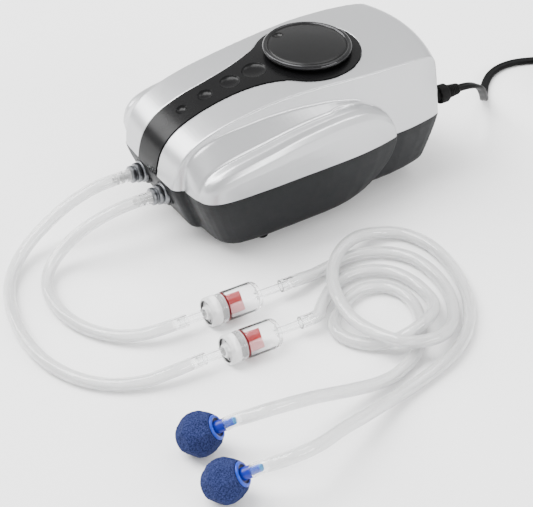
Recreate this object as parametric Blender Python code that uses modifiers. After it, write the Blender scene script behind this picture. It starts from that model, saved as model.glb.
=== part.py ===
"""Dual-outlet aquarium air pump with its air lines, check valves and air stones.

Frame: millimetres in the code (MM turns them into metres), +Z up, the outlets face -Y,
the floor is Z = 0 and the origin is under the middle of the pump.
"""
import math

import bmesh
import bpy
from mathutils import Matrix, Vector

MM = 0.001
GAP = 0.3                      # clearance kept between touching pieces

# ---- driving dimensions of the pump (mm) ----
LENGTH = 150.0
HALF_LENGTH = LENGTH / 2
SEAM_Z = 36.0                  # joint between silver top and dark base
BASE_Z = 7.5                   # underside of the base
POD_BASE_Z = 4.2               # underside of the two side pods
WALL = 2.2
KNOB_CENTRE_Y = 13.4
KNOB_RADIUS = 21.8
KNOB_BOTTOM_Z = 74.1
KNOB_TOP_Z = 77.3
RING_RADIUS = 26.0             # round end of the black inlay, around the knob
INLAY_HALF_WIDTH = 8.8
INLAY_THICKNESS = 2.1
OUTLET_X = 10.75
OUTLET_Z = 26.4
OUTLET_FACE_Y = -71.6
SEAT_RADIUS = 6.0              # spot face around each outlet
HOSE_RADIUS = 3.0
FOOT_RADIUS = 3.2
FOOT_FLAT_RADIUS = 1.8
# feet: x, y and the height of the underside above them
FEET = ((33.2, -31.5, POD_BASE_Z), (-33.2, -31.5, POD_BASE_Z),
        (16.5, 41.0, BASE_Z), (-16.5, 41.0, BASE_Z))
GLAND_X = 25.0
GLAND_Z = 41.8
# screw places: x, y and the height of the roof's underside above them
SCREWS = ((18.5, -49.0, 62.4), (-18.5, -49.0, 62.4), (24.0, 46.0, 70.6), (-24.0, 46.0, 70.6))
SCREW_SEAT_Z = 21.0
POST_TOP_Z = 31.0
ARM_X = 16.2                   # swing arm, beside the magnet core
ARM_PIVOT_Y = 56.0
CHAMBER_Y = 4.0
DRIVE_Z = 26.0                 # height of the electromagnet, arms and chambers


# ---------------------------------------------------------------- basics
def clear_scene():
    for item in list(bpy.data.objects):
        bpy.data.objects.remove(item, do_unlink=True)
    for block in list(bpy.data.meshes) + list(bpy.data.curves):
        (bpy.data.meshes if isinstance(block, bpy.types.Mesh) else bpy.data.curves).remove(block)


def make_collection(name):
    collection = bpy.data.collections.new(name)
    bpy.context.scene.collection.children.link(collection)
    return collection


def make_material(name, colour, roughness, metallic=0.0):
    material = bpy.data.materials.new(name)
    material.use_nodes = True
    shader = material.node_tree.nodes["Principled BSDF"]
    shader.inputs["Base Color"].default_value = (*colour, 1.0)
    shader.inputs["Roughness"].default_value = roughness
    shader.inputs["Metallic"].default_value = metallic
    material.diffuse_color = (*colour, 1.0)
    return material


def place(name, data, material, collection):
    item = bpy.data.objects.new(name, data)
    if material is not None:
        item.data.materials.append(material)
    collection.objects.link(item)
    return item


def bake(item):
    """Replace an object's mesh with what its modifiers make of it."""
    depsgraph = bpy.context.evaluated_depsgraph_get()
    mesh = bpy.data.meshes.new_from_object(item.evaluated_get(depsgraph))
    item.modifiers.clear()
    item.data = mesh
    return item


def combine(target, tool, operation, solver="EXACT"):
    modifier = target.modifiers.new("Combine", "BOOLEAN")
    modifier.operation = operation
    modifier.solver = solver
    modifier.object = tool
    bake(target)
    bpy.data.objects.remove(tool, do_unlink=True)
    return target


def change(target, tool, operation):
    """A Boolean on the body shells, whose grazing crossings the EXACT solver loses."""
    return combine(target, tool, operation, solver="MANIFOLD")


def smooth(item, degrees=32):
    item.data.shade_smooth()
    item.data.set_sharp_from_angle(angle=math.radians(degrees))
    return item


def from_bmesh(name, bm, material, collection):
    bmesh.ops.recalc_face_normals(bm, faces=bm.faces)
    mesh = bpy.data.meshes.new(name)
    bm.to_mesh(mesh)
    bm.free()
    return place(name, mesh, material, collection)


def loft(name, rings, material, collection):
    """A closed solid through rings of equally many points, capped at both ends."""
    bm = bmesh.new()
    rows = [[bm.verts.new(Vector(p) * MM) for p in ring] for ring in rings]
    count = len(rings[0])
    for low, high in zip(rows, rows[1:]):
        for i in range(count):
            j = (i + 1) % count
            bm.faces.new((low[i], low[j], high[j], high[i]))
    for row in (rows[0], rows[-1]):
        hub = bm.verts.new(sum((v.co for v in row), Vector()) / count)
        for i in range(count):
            bm.faces.new((row[i], row[(i + 1) % count], hub))
    return from_bmesh(name, bm, material, collection)


def box(name, low, high, material, collection):
    bm = bmesh.new()
    bmesh.ops.create_cube(bm, size=1.0)
    size = [(b - a) * MM for a, b in zip(low, high)]
    middle = [(a + b) / 2 * MM for a, b in zip(low, high)]
    bmesh.ops.scale(bm, vec=size, verts=bm.verts)
    bmesh.ops.translate(bm, vec=middle, verts=bm.verts)
    return from_bmesh(name, bm, material, collection)


def round_edges(item, width, segments=2, degrees=40):
    modifier = item.modifiers.new("Rounding", "BEVEL")
    modifier.width = width * MM
    modifier.segments = segments
    modifier.limit_method = "ANGLE"
    modifier.angle_limit = math.radians(degrees)
    modifier.harden_normals = False
    return bake(item)


AXES = {"X": Matrix.Rotation(math.radians(90), 4, "Y"),
        "Y": Matrix.Rotation(math.radians(-90), 4, "X"),
        "-Y": Matrix.Rotation(math.radians(90), 4, "X"),
        "Z": Matrix.Identity(4)}


def turned(name, profile, origin, axis, material, collection, steps=32, direction=None):
    """Turn (radius, height) points, listed from the top down, about an axis.

    The profile starts and ends on the axis or, for a ring, closes on itself.
    """
    bm = bmesh.new()
    closed = profile[0][0] > 0 and profile[-1][0] > 0
    verts = [bm.verts.new((r * MM, 0.0, h * MM)) for r, h in profile]
    for a, b in zip(verts, verts[1:]):
        bm.edges.new((a, b))
    if closed:
        bm.edges.new((verts[-1], verts[0]))
    mesh = bpy.data.meshes.new(name)
    bm.to_mesh(mesh)
    bm.free()
    item = place(name, mesh, material, collection)
    screw = item.modifiers.new("Turn", "SCREW")
    screw.steps = steps
    screw.render_steps = steps
    screw.use_merge_vertices = True
    screw.merge_threshold = 0.00001
    screw.use_smooth_shade = True
    bake(item)
    if direction is None:
        turn = AXES[axis]
    else:
        turn = Vector((0, 0, 1)).rotation_difference(Vector(direction)).to_matrix().to_4x4()
    item.data.transform(Matrix.Translation(Vector(origin) * MM) @ turn)
    bm = bmesh.new()
    bm.from_mesh(item.data)
    bmesh.ops.recalc_face_normals(bm, faces=bm.faces)
    bm.to_mesh(item.data)
    bm.free()
    return smooth(item)


def through(points, per_span):
    """Catmull-Rom curve through points of any size, with its ends included."""
    ends = [[2 * a - b for a, b in zip(points[0], points[1])],
            [2 * a - b for a, b in zip(points[-1], points[-2])]]
    chain = [ends[0], *points, ends[1]]
    result = []
    for p0, p1, p2, p3 in zip(chain, chain[1:], chain[2:], chain[3:]):
        for k in range(per_span):
            t = k / per_span
            result.append([0.5 * (2 * b + (c - a) * t + (2 * a - 5 * b + 4 * c - d) * t * t
                                  + (3 * b - a - 3 * c + d) * t ** 3)
                           for a, b, c, d in zip(p0, p1, p2, p3)])
    result.append(list(points[-1]))
    return result


def mirror_x(points):
    return [(-x, *rest) for x, *rest in reversed(points)]


# ---------------------------------------------------------------- body surfaces
# Stations of the roof, from the front seam over the top to the rear seam:
# y and z of the shoulder edge, its half-width, the crown's height at the middle, the bulge
# of the row along Y at the middle, and the half-width of the side wall at the seam.
ROOF = (
    (-75.4, 30.0, 22.4, 0.0, 0.4, 22.4),
    (-74.9, 36.0, 22.9, 0.0, 0.5, 22.9),
    (-73.9, 42.0, 24.4, 0.1, 0.7, 24.6),
    (-71.8, 48.5, 25.5, 0.2, 0.7, 26.0),
    (-68.0, 54.2, 25.9, 0.2, 0.4, 26.8),
    (-62.0, 59.0, 26.1, 0.2, 0.2, 28.2),
    (-52.0, 63.3, 26.5, 0.2, 0.0, 31.5),
    (-40.0, 66.4, 26.9, 0.4, 0.0, 33.5),
    (-26.0, 68.9, 27.2, 0.9, 0.0, 35.0),
    (-11.0, 70.6, 28.2, 1.5, 0.0, 36.2),
    (5.0, 71.5, 29.9, 1.8, 0.0, 37.0),
    (20.0, 71.8, 31.5, 1.8, 0.0, 37.2),
    (35.0, 71.7, 32.1, 1.8, 0.4, 37.1),
    (49.0, 71.3, 31.7, 1.9, 1.4, 36.4),
    (59.0, 70.7, 30.7, 2.0, 3.0, 34.8),
    (65.2, 69.6, 29.6, 2.0, 4.2, 33.4),
    (68.4, 66.0, 29.4, 1.2, 4.6, 32.4),
    (69.4, 60.0, 29.9, 0.4, 4.4, 31.9),
    (70.2, 48.0, 30.8, 0.0, 4.2, 31.7),
    (70.8, 36.0, 31.6, 0.0, 4.2, 31.6),
    (71.0, 30.0, 32.0, 0.0, 4.2, 32.0),
)

# Stations of the right fender: y, z of its upper line at the step, z at the pontoon's
# crease, and its half-width.
FENDER = (
    (-70.0, 34.0, 33.0, 27.6),
    (-69.6, 41.0, 35.5, 31.5),
    (-68.7, 46.4, 38.5, 36.6),
    (-67.0, 50.2, 42.5, 39.6),
    (-64.3, 53.6, 46.4, 41.8),
    (-60.0, 56.4, 49.2, 43.0),
    (-53.0, 59.2, 51.7, 43.4),
    (-44.0, 61.3, 53.7, 43.4),
    (-31.0, 63.3, 56.1, 43.2),
    (-18.0, 64.6, 58.6, 42.6),
    (-6.0, 65.1, 60.2, 41.8),
    (6.0, 64.6, 61.0, 36.5),
    (16.0, 62.6, 60.4, 35.6),
    (24.0, 59.6, 58.6, 34.4),
    (30.0, 56.0, 55.4, 33.2),
)

# Stations of the right pontoon: y, height of its crease, half-width at the crease, and
# half-width at the seam.
PONTOON = (
    (-68.1, 34.5, 35.8, 37.4),
    (-67.8, 38.6, 36.0, 39.4),
    (-66.6, 42.6, 36.3, 41.6),
    (-64.3, 46.2, 36.6, 43.6),
    (-60.0, 49.2, 36.9, 45.4),
    (-53.0, 51.7, 37.0, 46.2),
    (-44.0, 53.7, 37.0, 46.3),
    (-31.0, 56.1, 37.0, 46.0),
    (-18.0, 58.6, 36.9, 45.4),
    (-6.0, 60.2, 36.7, 44.9),
    (6.0, 61.0, 36.2, 44.3),
    (16.0, 60.6, 35.6, 43.6),
    (24.0, 58.8, 35.2, 42.6),
    (30.5, 55.4, 35.2, 41.5),
    (35.5, 51.0, 35.6, 40.4),
    (39.4, 45.4, 36.3, 39.4),
    (41.4, 39.6, 36.9, 38.7),
    (42.1, 34.5, 37.3, 38.3),
)

SKIRT_Z = 24.0                 # the body solids run this low before the seam trims them


def inset_y(y, inset):
    return y * (HALF_LENGTH - inset) / HALF_LENGTH


def roof_rows(per_span, across, inset=0.0):
    """Rows of points over the roof, each from the left shoulder edge to the right one."""
    rows = []
    for y, z, half, crown, bulge, foot in through(ROOF, per_span):
        half -= inset
        row = []
        for i in range(-across, across + 1):
            t = i / across
            spread = 1 - t ** 2
            row.append((t * half, inset_y(y + math.copysign(bulge * spread, y), inset),
                        z - inset + crown * spread))
        rows.append((row, foot - inset))
    return rows


def core_solid(name, material, collection, inset, per_span, across=3):
    rings = []
    skirt = SKIRT_Z - inset
    for row, foot in roof_rows(per_span, across, inset):
        (left_x, left_y, left_z), (right_x, right_y, right_z) = row[0], row[-1]
        middle_z = (left_z + SEAM_Z) / 2
        belly = (foot - right_x) * 0.55
        rings.append([(-foot, left_y, skirt), (-foot, left_y, min(SEAM_Z, left_z - 2)),
                      (left_x - belly, left_y, min(middle_z, left_z - 1)), *row,
                      (right_x + belly, right_y, min(middle_z, right_z - 1)),
                      (foot, right_y, min(SEAM_Z, right_z - 2)), (foot, right_y, skirt)])
    return loft(name, rings, material, collection)


FENDER_ROOT_X = 20.0           # hidden inside the core, like the pontoon's root
PONTOON_ROOT_X = 21.5
FENDER_SKIRT_Z = 25.0
PONTOON_SKIRT_Z = 26.0
STEP_X = 28.0                  # upper line of the fender, at the foot of the step
CREASE_X = 36.6                # where the fender meets the pontoon
CREASE_LIP = 0.5
CREASE_DEPTH = 1.2


def fender_solid(name, material, collection, inset, per_span):
    rings = []
    for y, step_z, crease_z, half in through(FENDER, per_span):
        crease_x = min(CREASE_X, half - 0.6)
        step_x = min(STEP_X, crease_x - 1.5)
        slope = max((step_z - crease_z) / (CREASE_X - STEP_X), 0.05)
        root_z = step_z + slope * (step_x - FENDER_ROOT_X) * 0.5
        lip_z = step_z - slope * (crease_x - step_x) + CREASE_LIP
        rings.append([(x - inset * (x > FENDER_ROOT_X), inset_y(y, inset), z - inset)
                      for x, z in (
            (FENDER_ROOT_X, FENDER_SKIRT_Z), (FENDER_ROOT_X, root_z), (step_x, step_z), (crease_x, lip_z),
            (crease_x + 0.4, lip_z - CREASE_DEPTH), (half, min(lip_z - CREASE_DEPTH - 0.5, 34.0)),
            (half, FENDER_SKIRT_Z))])
    return loft(name, rings, material, collection)


def pontoon_solid(name, material, collection, inset, per_span, around=5):
    """Pillow-shaped pod: a groove at the crease, a rolled top and a near-vertical side."""
    rings = []
    for y, crease_z, crease_x, half in through(PONTOON, per_span):
        half -= inset
        crease_x -= inset
        roll = max((crease_z - 34.5) * 0.62, 0.8)
        start_x = crease_x + min(0.7, (half - crease_x) * 0.3)
        section = [(PONTOON_ROOT_X, PONTOON_SKIRT_Z), (PONTOON_ROOT_X, crease_z - 2.5),
                   (crease_x - 0.6, crease_z - 1.3), (start_x, crease_z - 0.7)]
        for i in range(1, around + 1):
            angle = math.radians(90 * i / around)
            section.append((start_x + (half - start_x) * math.sin(angle) ** 0.8,
                            crease_z - 0.7 + 0.9 * math.sin(2 * angle) * (1 - i / around)
                            - roll * (1 - math.cos(angle) ** 0.9)))
        section.append((half + 0.15, PONTOON_SKIRT_Z))
        rings.append([(x, inset_y(y, inset), z - inset) for x, z in section])
    return loft(name, rings, material, collection)


def mirrored(item):
    """The same piece on the other side of the middle plane."""
    copy = item.copy()
    copy.data = item.data.copy()
    item.users_collection[0].objects.link(copy)
    bm = bmesh.new()
    bm.from_mesh(copy.data)
    bmesh.ops.scale(bm, vec=(-1, 1, 1), verts=bm.verts)
    bmesh.ops.recalc_face_normals(bm, faces=bm.faces)
    bm.to_mesh(copy.data)
    bm.free()
    return copy


def body_solids(name, material, collection, inset, per_span):
    """Core, fenders and pontoons as solids that still run below the seam."""
    solids = [core_solid(name, material, collection, inset, per_span)]
    for make in (fender_solid, pontoon_solid):
        right = make(name + "_side", material, collection, inset, 1)
        solids += [right, mirrored(right)]
    return solids


# ---- plan outlines at the seam, right half, front to rear ----
CORE_PLAN = ((22.9, -75.0), (24.9, -74.2), (26.1, -72.6), (26.6, -69.5), (27.6, -64.0),
             (31.0, -53.0), (33.5, -40.0), (35.8, -15.0), (37.0, 8.0), (37.1, 35.0),
             (36.4, 49.0), (34.8, 59.0), (33.0, 66.5), (31.4, 71.0), (24.0, 72.9), (12.0, 74.6))
POD_PLAN = ((24.0, -69.9), (31.0, -69.5), (36.0, -68.8), (39.4, -67.6), (42.0, -65.8), (44.2, -62.8),
            (45.6, -58.5), (46.3, -50.0), (46.2, -38.0), (45.5, -20.0), (44.5, 2.0), (43.4, 18.0),
            (41.9, 29.0), (40.0, 37.0), (38.9, 41.2), (38.2, 42.2), (36.0, 42.6), (24.0, 42.6))
POD_REAR_Y = 42.6
POD_ROOM_X = 27.5              # keeps a wall between the pod's well and the middle
# How the sides lean in from the seam to the underside: height of the underside, lean of the
# sides, the front and the rear, power of the rear's curve, and y of the rear end
CORE_LEAN = (BASE_Z, 5.5, 12.0, 8.0, 1.15, HALF_LENGTH)
POD_LEAN = (POD_BASE_Z, 5.0, 14.0, 22.0, 2.2, POD_REAR_Y)
SIDE_POWER = 1.3
FRONT_POWER = 1.15
HALF_WIDTH = 46.0
BILGE = 4.5                    # rounding between sides and underside
BASE_LEVELS = 6


def base_ring(outline, z, inset, lean):
    """A plan outline drawn in for its height below the seam."""
    underside, side_lean, front_lean, rear_lean, rear_power, rear_y = lean
    depth = max(0.0, (SEAM_Z - z) / (SEAM_Z - underside))
    over = max(0.0, 1 - (z - underside - inset) / BILGE)
    roll = BILGE * (1 - math.sqrt(max(0.0, 1 - over ** 2)))
    ring = []
    for x, y in outline:
        side = x * (1 - (side_lean * depth ** SIDE_POWER + roll + inset) / HALF_WIDTH)
        if y < 0:
            along = y * (1 - (front_lean * depth ** FRONT_POWER + roll + inset) / HALF_LENGTH)
        else:
            along = y * (1 - (rear_lean * depth ** rear_power + roll + inset) / rear_y)
        ring.append((side, along, z))
    return ring


def base_solid(name, outline, lean, top, material, collection, inset=0.0):
    low = lean[0] + inset
    rise = [(i / BASE_LEVELS) ** 1.9 for i in range(BASE_LEVELS + 1)]
    levels = [low + (SEAM_Z - low) * t for t in rise] + [top]
    return loft(name, [base_ring(outline, z, inset, lean) for z in levels], material, collection)


def make_base(material, collection, work):
    core_plan = [*CORE_PLAN, (0.0, 75.0), *mirror_x(CORE_PLAN), (0.0, -75.4)]
    base = base_solid("base_shell", core_plan, CORE_LEAN, SEAM_Z + 2, material, collection)
    pod = base_solid("pod", POD_PLAN, POD_LEAN, SEAM_Z + 3, material, work)
    for solid in (pod, mirrored(pod)):
        change(base, solid, "UNION")
    change(base, base_solid("room", core_plan, CORE_LEAN, SEAM_Z + 5, material, work, WALL), "DIFFERENCE")
    well_plan = [(max(x, POD_ROOM_X), y) for x, y in POD_PLAN]
    well = base_solid("well", well_plan, POD_LEAN, SEAM_Z + 6, material, work, WALL)
    for solid in (well, mirrored(well)):
        change(base, solid, "DIFFERENCE")
    above = box("above", (-80, -100, SEAM_Z - GAP / 2), (80, 100, SEAM_Z + 20), material, work)
    change(base, above, "DIFFERENCE")
    for side in (-1, 1):
        face = (side * OUTLET_X, OUTLET_FACE_Y, OUTLET_Z)
        seat = turned("seat", ((0, 0), (SEAT_RADIUS + 0.6, 0), (SEAT_RADIUS + 0.6, -5), (0, -5)), face,
                      "-Y", material, work, 28)
        change(base, seat, "UNION")
        for radius, depth in ((SEAT_RADIUS, 0.0), (4.2, -12.0)):
            hole = turned("hole", ((0, 12), (radius, 12), (radius, depth), (0, depth)), face,
                          "-Y", material, work, 28)
            change(base, hole, "DIFFERENCE")
    for x, y, underside in FEET:
        socket = turned("socket", ((0, 2.6), (1.9, 2.6), (1.9, -3), (0, -3)), (x, y, underside),
                        "Z", material, work, 20)
        change(base, socket, "DIFFERENCE")
    for x, y, _ in SCREWS:
        post = turned("post", ((0, POST_TOP_Z), (4.2, POST_TOP_Z), (4.2, BASE_Z + 0.4), (0, BASE_Z + 0.4)),
                      (x, y, 0), "Z", material, work, 24)
        change(base, post, "UNION")
        for radius, low, high in ((3.1, 0, SCREW_SEAT_Z), (1.6, 10, POST_TOP_Z + 5)):
            hole = turned("hole", ((0, high), (radius, high), (radius, low), (0, low)), (x, y, 0),
                          "Z", material, work, 20)
            change(base, hole, "DIFFERENCE")
    intake = turned("intake", ((0, 3), (9.3, 3), (9.3, -3), (0, -3)), (0, FILTER_Y, BASE_Z),
                    "Z", material, work, 36)
    change(base, intake, "DIFFERENCE")
    return smooth(base, 28)


# ---------------------------------------------------------------- top shell and inlay
def inlay_half_width(y):
    """Half-width of the black band, which flares into the ring around the knob."""
    ring_front = KNOB_CENTRE_Y - RING_RADIUS
    along = (y - KNOB_CENTRE_Y) / RING_RADIUS
    circle = RING_RADIUS * math.sqrt(max(0.0, 1 - along ** 2)) if abs(along) < 1 else 0.0
    if y > KNOB_CENTRE_Y:
        return circle
    flare = max(0.0, (y + 46.0) / (ring_front + 6.5 + 46.0))
    band = INLAY_HALF_WIDTH + 8.4 * flare ** 2.6 if flare < 1 else 0.0
    return max(band, circle)


def roof_point(rows, y_target, x):
    """Point of the roof's surface at a plan position."""
    middle = len(rows[0][0]) // 2
    for (low, _), (high, _) in zip(rows, rows[1:]):
        if low[middle][1] <= y_target <= high[middle][1]:
            t = (y_target - low[middle][1]) / (high[middle][1] - low[middle][1])
            spread = 1 - (x / max(high[-1][0], 1.0)) ** 2
            edge_z = low[0][2] + t * (high[0][2] - low[0][2])
            crown = (low[middle][2] - low[0][2]) * (1 - t) + (high[middle][2] - high[0][2]) * t
            return edge_z + crown * spread
    return None


def inlay_solid(name, margin, lift, depth, material, collection):
    """The keyhole band that follows the roof, from the front seam to behind the knob."""
    rows = roof_rows(2, 4)
    middle = 4
    spine = [(row[middle][1], row[middle][2]) for row, _ in rows]
    end_y = KNOB_CENTRE_Y + RING_RADIUS + margin
    stations = [p for p in spine if p[0] < end_y - 9 and p[1] >= SEAM_Z - 3]
    steps = 8
    for i in range(1, steps + 1):
        y = end_y - 9 + 9 * math.sin(math.radians(90 * i / steps))
        stations.append((y, roof_point(rows, y, 0.0)))
    rings = []
    for i, (y, z) in enumerate(stations):
        before, after = stations[max(i - 1, 0)], stations[min(i + 1, len(stations) - 1)]
        tangent = Vector((0, after[0] - before[0], after[1] - before[1])).normalized()
        normal = Vector((0, -tangent.z, tangent.y))
        scale = RING_RADIUS / (RING_RADIUS + margin)
        centred = KNOB_CENTRE_Y + (y - KNOB_CENTRE_Y) * scale if y > KNOB_CENTRE_Y else y
        half = max(inlay_half_width(centred) + margin * (centred < KNOB_CENTRE_Y), 0.0)
        if y > KNOB_CENTRE_Y:
            half = half / scale
        half = max(half, 0.4)
        ring = []
        for offset, direction in ((lift, 1), (-depth, -1)):
            for k in range(-3, 4):
                x = direction * k / 3 * half
                spread = (x / 30.0) ** 2
                crown = max(0.0, min(1.8, (y + 52) * 0.035))
                point = Vector((x, y, z - crown * spread)) + normal * offset
                ring.append(tuple(point))
        rings.append(ring)
    return loft(name, rings, material, collection)


DIMPLES = ((-56.2, 2.8, 1.3), (-43.4, 3.8, 1.5), (-30.0, 5.0, 1.4), (-16.6, 6.0, 1.5))


def make_top(silver, black, collection, work):
    def below_seam():
        return box("below", (-80, -100, 0), (80, 100, SEAM_Z + GAP / 2), silver, work)

    top, *sides = body_solids("top_shell", silver, collection, 0.0, 2)
    for solid in sides:
        change(top, solid, "UNION")
    for solid in body_solids("room", silver, work, WALL, 1):
        change(top, solid, "DIFFERENCE")
    rib = inlay_solid("rib", 2.0, -1.2, INLAY_THICKNESS + 2.0, black, work)
    change(top, rib, "UNION")
    change(top, inlay_solid("channel", 0.5, 3.0, INLAY_THICKNESS + 0.4, black, work), "DIFFERENCE")
    change(top, below_seam(), "DIFFERENCE")
    for x, y, ceiling in SCREWS:
        boss = turned("boss", ((0, ceiling), (3.6, ceiling), (3.6, POST_TOP_Z + GAP), (0, POST_TOP_Z + GAP)),
                      (x, y, 0), "Z", silver, work, 20)
        change(top, boss, "UNION")
        pilot = turned("pilot", ((0, 44), (1.6, 44), (1.6, 20), (0, 20)), (x, y, 0), "Z", silver, work, 16)
        change(top, pilot, "DIFFERENCE")
    gland_hole = turned("gland_hole", ((0, 20), (3.5, 20), (3.5, -20), (0, -20)),
                        (GLAND_X, 72, GLAND_Z), "Y", silver, work, 24)
    change(top, gland_hole, "DIFFERENCE")

    inlay = inlay_solid("top_inlay", 0.0, 0.25, INLAY_THICKNESS, black, collection)
    change(inlay, below_seam(), "DIFFERENCE")
    for piece in (top, inlay):
        shaft_hole = turned("shaft_hole", ((0, 90), (3.6, 90), (3.6, 55), (0, 55)),
                            (0, KNOB_CENTRE_Y, 0), "Z", silver, work, 24)
        change(piece, shaft_hole, "DIFFERENCE")
    rows = roof_rows(2, 4)
    for y, radius, depth in DIMPLES:
        z = roof_point(rows, y, 0.0)
        ahead = roof_point(rows, y + 3, 0.0)
        behind = roof_point(rows, y - 3, 0.0)
        slope = Vector((0, -(ahead - behind), 6.0)).normalized()
        floor = radius * 0.62
        bowl = ((0, 4), (radius + 0.5, 4), (radius, 0.3), (radius - 0.25, -0.35),
                (floor + (radius - floor) * 0.4, -depth * 0.82), (floor, -depth), (0, -depth))
        cutter = turned("dimple", bowl, (0, y, z), "Z", black, work, 16, direction=slope)
        change(inlay, cutter, "DIFFERENCE")
    return smooth(top, 30), smooth(inlay, 30)


# ---------------------------------------------------------------- knob and control
def make_knob(black, steel, board, collection, work):
    r, low, high = KNOB_RADIUS, KNOB_BOTTOM_Z, KNOB_TOP_Z
    dome = [(r * k / 4 * 0.88, high + 0.9 - 1.5 * (k / 4) ** 2) for k in range(0, 5)]
    knob_profile = dome + [(r - 1.8, high - 0.5), (r - 1.3, high + 0.1), (r - 0.6, high + 0.2),
                           (r - 0.1, high - 0.3), (r, high - 1.0), (r - 0.5, low),
                           (r - 2.4, low), (r - 2.6, high - 2.4), (5.2, high - 2.4),
                           (4.8, low + 0.2), (0, low + 0.2)]
    knob = turned("control_knob", knob_profile, (0, KNOB_CENTRE_Y, 0), "Z", black, collection, 40)
    pointer = turned("pointer", ((0, 3), (1.9, 3), (1.9, -0.3), (1.3, -0.75), (0, -0.9)),
                     (-14.0, KNOB_CENTRE_Y - 8.5, KNOB_TOP_Z), "Z", black, work, 20)
    combine(knob, pointer, "DIFFERENCE")
    bore = turned("bore", ((0, 76.0), (2.95, 76.0), (2.95, 60), (0, 60)), (0, KNOB_CENTRE_Y, 0),
                  "Z", black, work, 24)
    combine(knob, bore, "DIFFERENCE")
    smooth(knob)

    shaft = turned("knob_shaft", ((0, 75.6), (2.4, 75.6), (2.65, 75.2), (2.65, 62.3), (0, 62.3)),
                   (0, KNOB_CENTRE_Y, 0), "Z", steel, collection, 24)
    pot = box("potentiometer", (-8, KNOB_CENTRE_Y - 8, 52.3), (8, KNOB_CENTRE_Y + 8, 62.0),
              steel, collection)
    pot = round_edges(pot, 1.2)
    plate = box("circuit_board", (-19, KNOB_CENTRE_Y - 17, 50.4), (19, KNOB_CENTRE_Y + 17, 52.0),
                board, collection)
    for x, y, half, tall in ((-12, -10, 3.5, 9), (-13, 3, 3.0, 5), (13, -11, 2.6, 8), (13, 8, 4, 4)):
        part = box("chip", (x - half, KNOB_CENTRE_Y + y - half, 51.8),
                   (x + half, KNOB_CENTRE_Y + y + half, 51.8 + tall), board, work)
        combine(plate, part, "UNION")
    return knob, shaft, pot, plate


# ---------------------------------------------------------------- outlets
NOZZLE_PROFILE = (                       # radius against distance in front of the base's face
    (0, 17.0), (1.9, 17.0), (2.3, 15.4), (1.9, 13.7), (2.3, 12.0), (1.9, 10.4), (2.35, 8.8),
    (2.35, 8.0), (4.3, 7.8), (4.3, 6.2), (3.6, 5.9), (3.6, 5.3), (4.9, 4.8), (4.9, 3.2),
    (4.4, 2.6), (5.5, 1.9), (5.5, 0.3), (3.9, 0.3), (3.9, -5.2), (2.4, -5.2), (2.4, -8.0), (0, -8.0))


def make_outlets(metal, collection, work):
    for side, name in ((1, "right"), (-1, "left")):
        nozzle = turned(f"outlet_nozzle_{name}", NOZZLE_PROFILE,
                        (side * OUTLET_X, OUTLET_FACE_Y, OUTLET_Z), "-Y", metal, collection, 20)
        bore = turned("bore", ((0, 16), (1.2, 16), (1.2, -12), (0, -12)),
                      (side * OUTLET_X, OUTLET_FACE_Y - 4, OUTLET_Z), "-Y", metal, work, 12)
        combine(nozzle, bore, "DIFFERENCE")
        smooth(nozzle)


# ---------------------------------------------------------------- air side and drive
FILTER_Y = -38.0


def make_filter(felt, plastic, collection, work):
    turned("felt_filter", ((0, 14.2), (9.0, 14.2), (9.0, 10.4), (0, 10.4)), (0, FILTER_Y, 0),
           "Z", felt, collection, 20)
    cover = turned("filter_cover", ((0, 10.1), (8.9, 10.1), (8.9, 7.2), (12.0, 7.2), (12.0, 6.4),
                                    (11.4, 5.8), (0, 5.8)), (0, FILTER_Y, 0), "Z", plastic,
                   collection, 24)
    for x in (-5, 0, 5):
        slot = box("slot", (x - 0.9, FILTER_Y - 5.0, 0), (x + 0.9, FILTER_Y + 5.0, 20), plastic, work)
        combine(cover, slot, "DIFFERENCE")
    smooth(cover)


def make_electromagnet(steel, plastic, copper, collection, work):
    low, high = DRIVE_Z - 8, DRIVE_Z + 8
    core = box("core_laminations", (-12.5, 10, low), (12.5, 42, high), steel, collection)
    for side in (-1, 1):
        slot = box("slot", (min(side * 4, side * 9), 8, low - 2), (max(side * 4, side * 9), 36.5, high + 2),
                   steel, work)
        combine(core, slot, "DIFFERENCE")
    bobbin = box("coil_bobbin", (-8.6, 12.4, low - 4.2), (8.6, 35.6, high + 4.2), plastic, collection)
    ring_cut = box("ring", (-30, 14.0, low - 12), (30, 34.0, high + 12), plastic, work)
    keep = box("keep", (-5.4, 13.0, low - 1.6), (5.4, 35.0, high + 1.6), plastic, work)
    combine(ring_cut, keep, "DIFFERENCE")
    combine(bobbin, ring_cut, "DIFFERENCE")
    combine(bobbin, box("limb", (-4.3, 0, low - 0.3), (4.3, 60, high + 0.3), plastic, work), "DIFFERENCE")
    winding = box("coil_winding", (-8.4, 14.3, low - 4.0), (8.4, 33.7, high + 4.0), copper, collection)
    winding = round_edges(winding, 1.4)
    combine(winding, box("middle", (-5.7, 0, low - 1.9), (5.7, 60, high + 1.9), copper, work), "DIFFERENCE")
    return core, bobbin, winding


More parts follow.
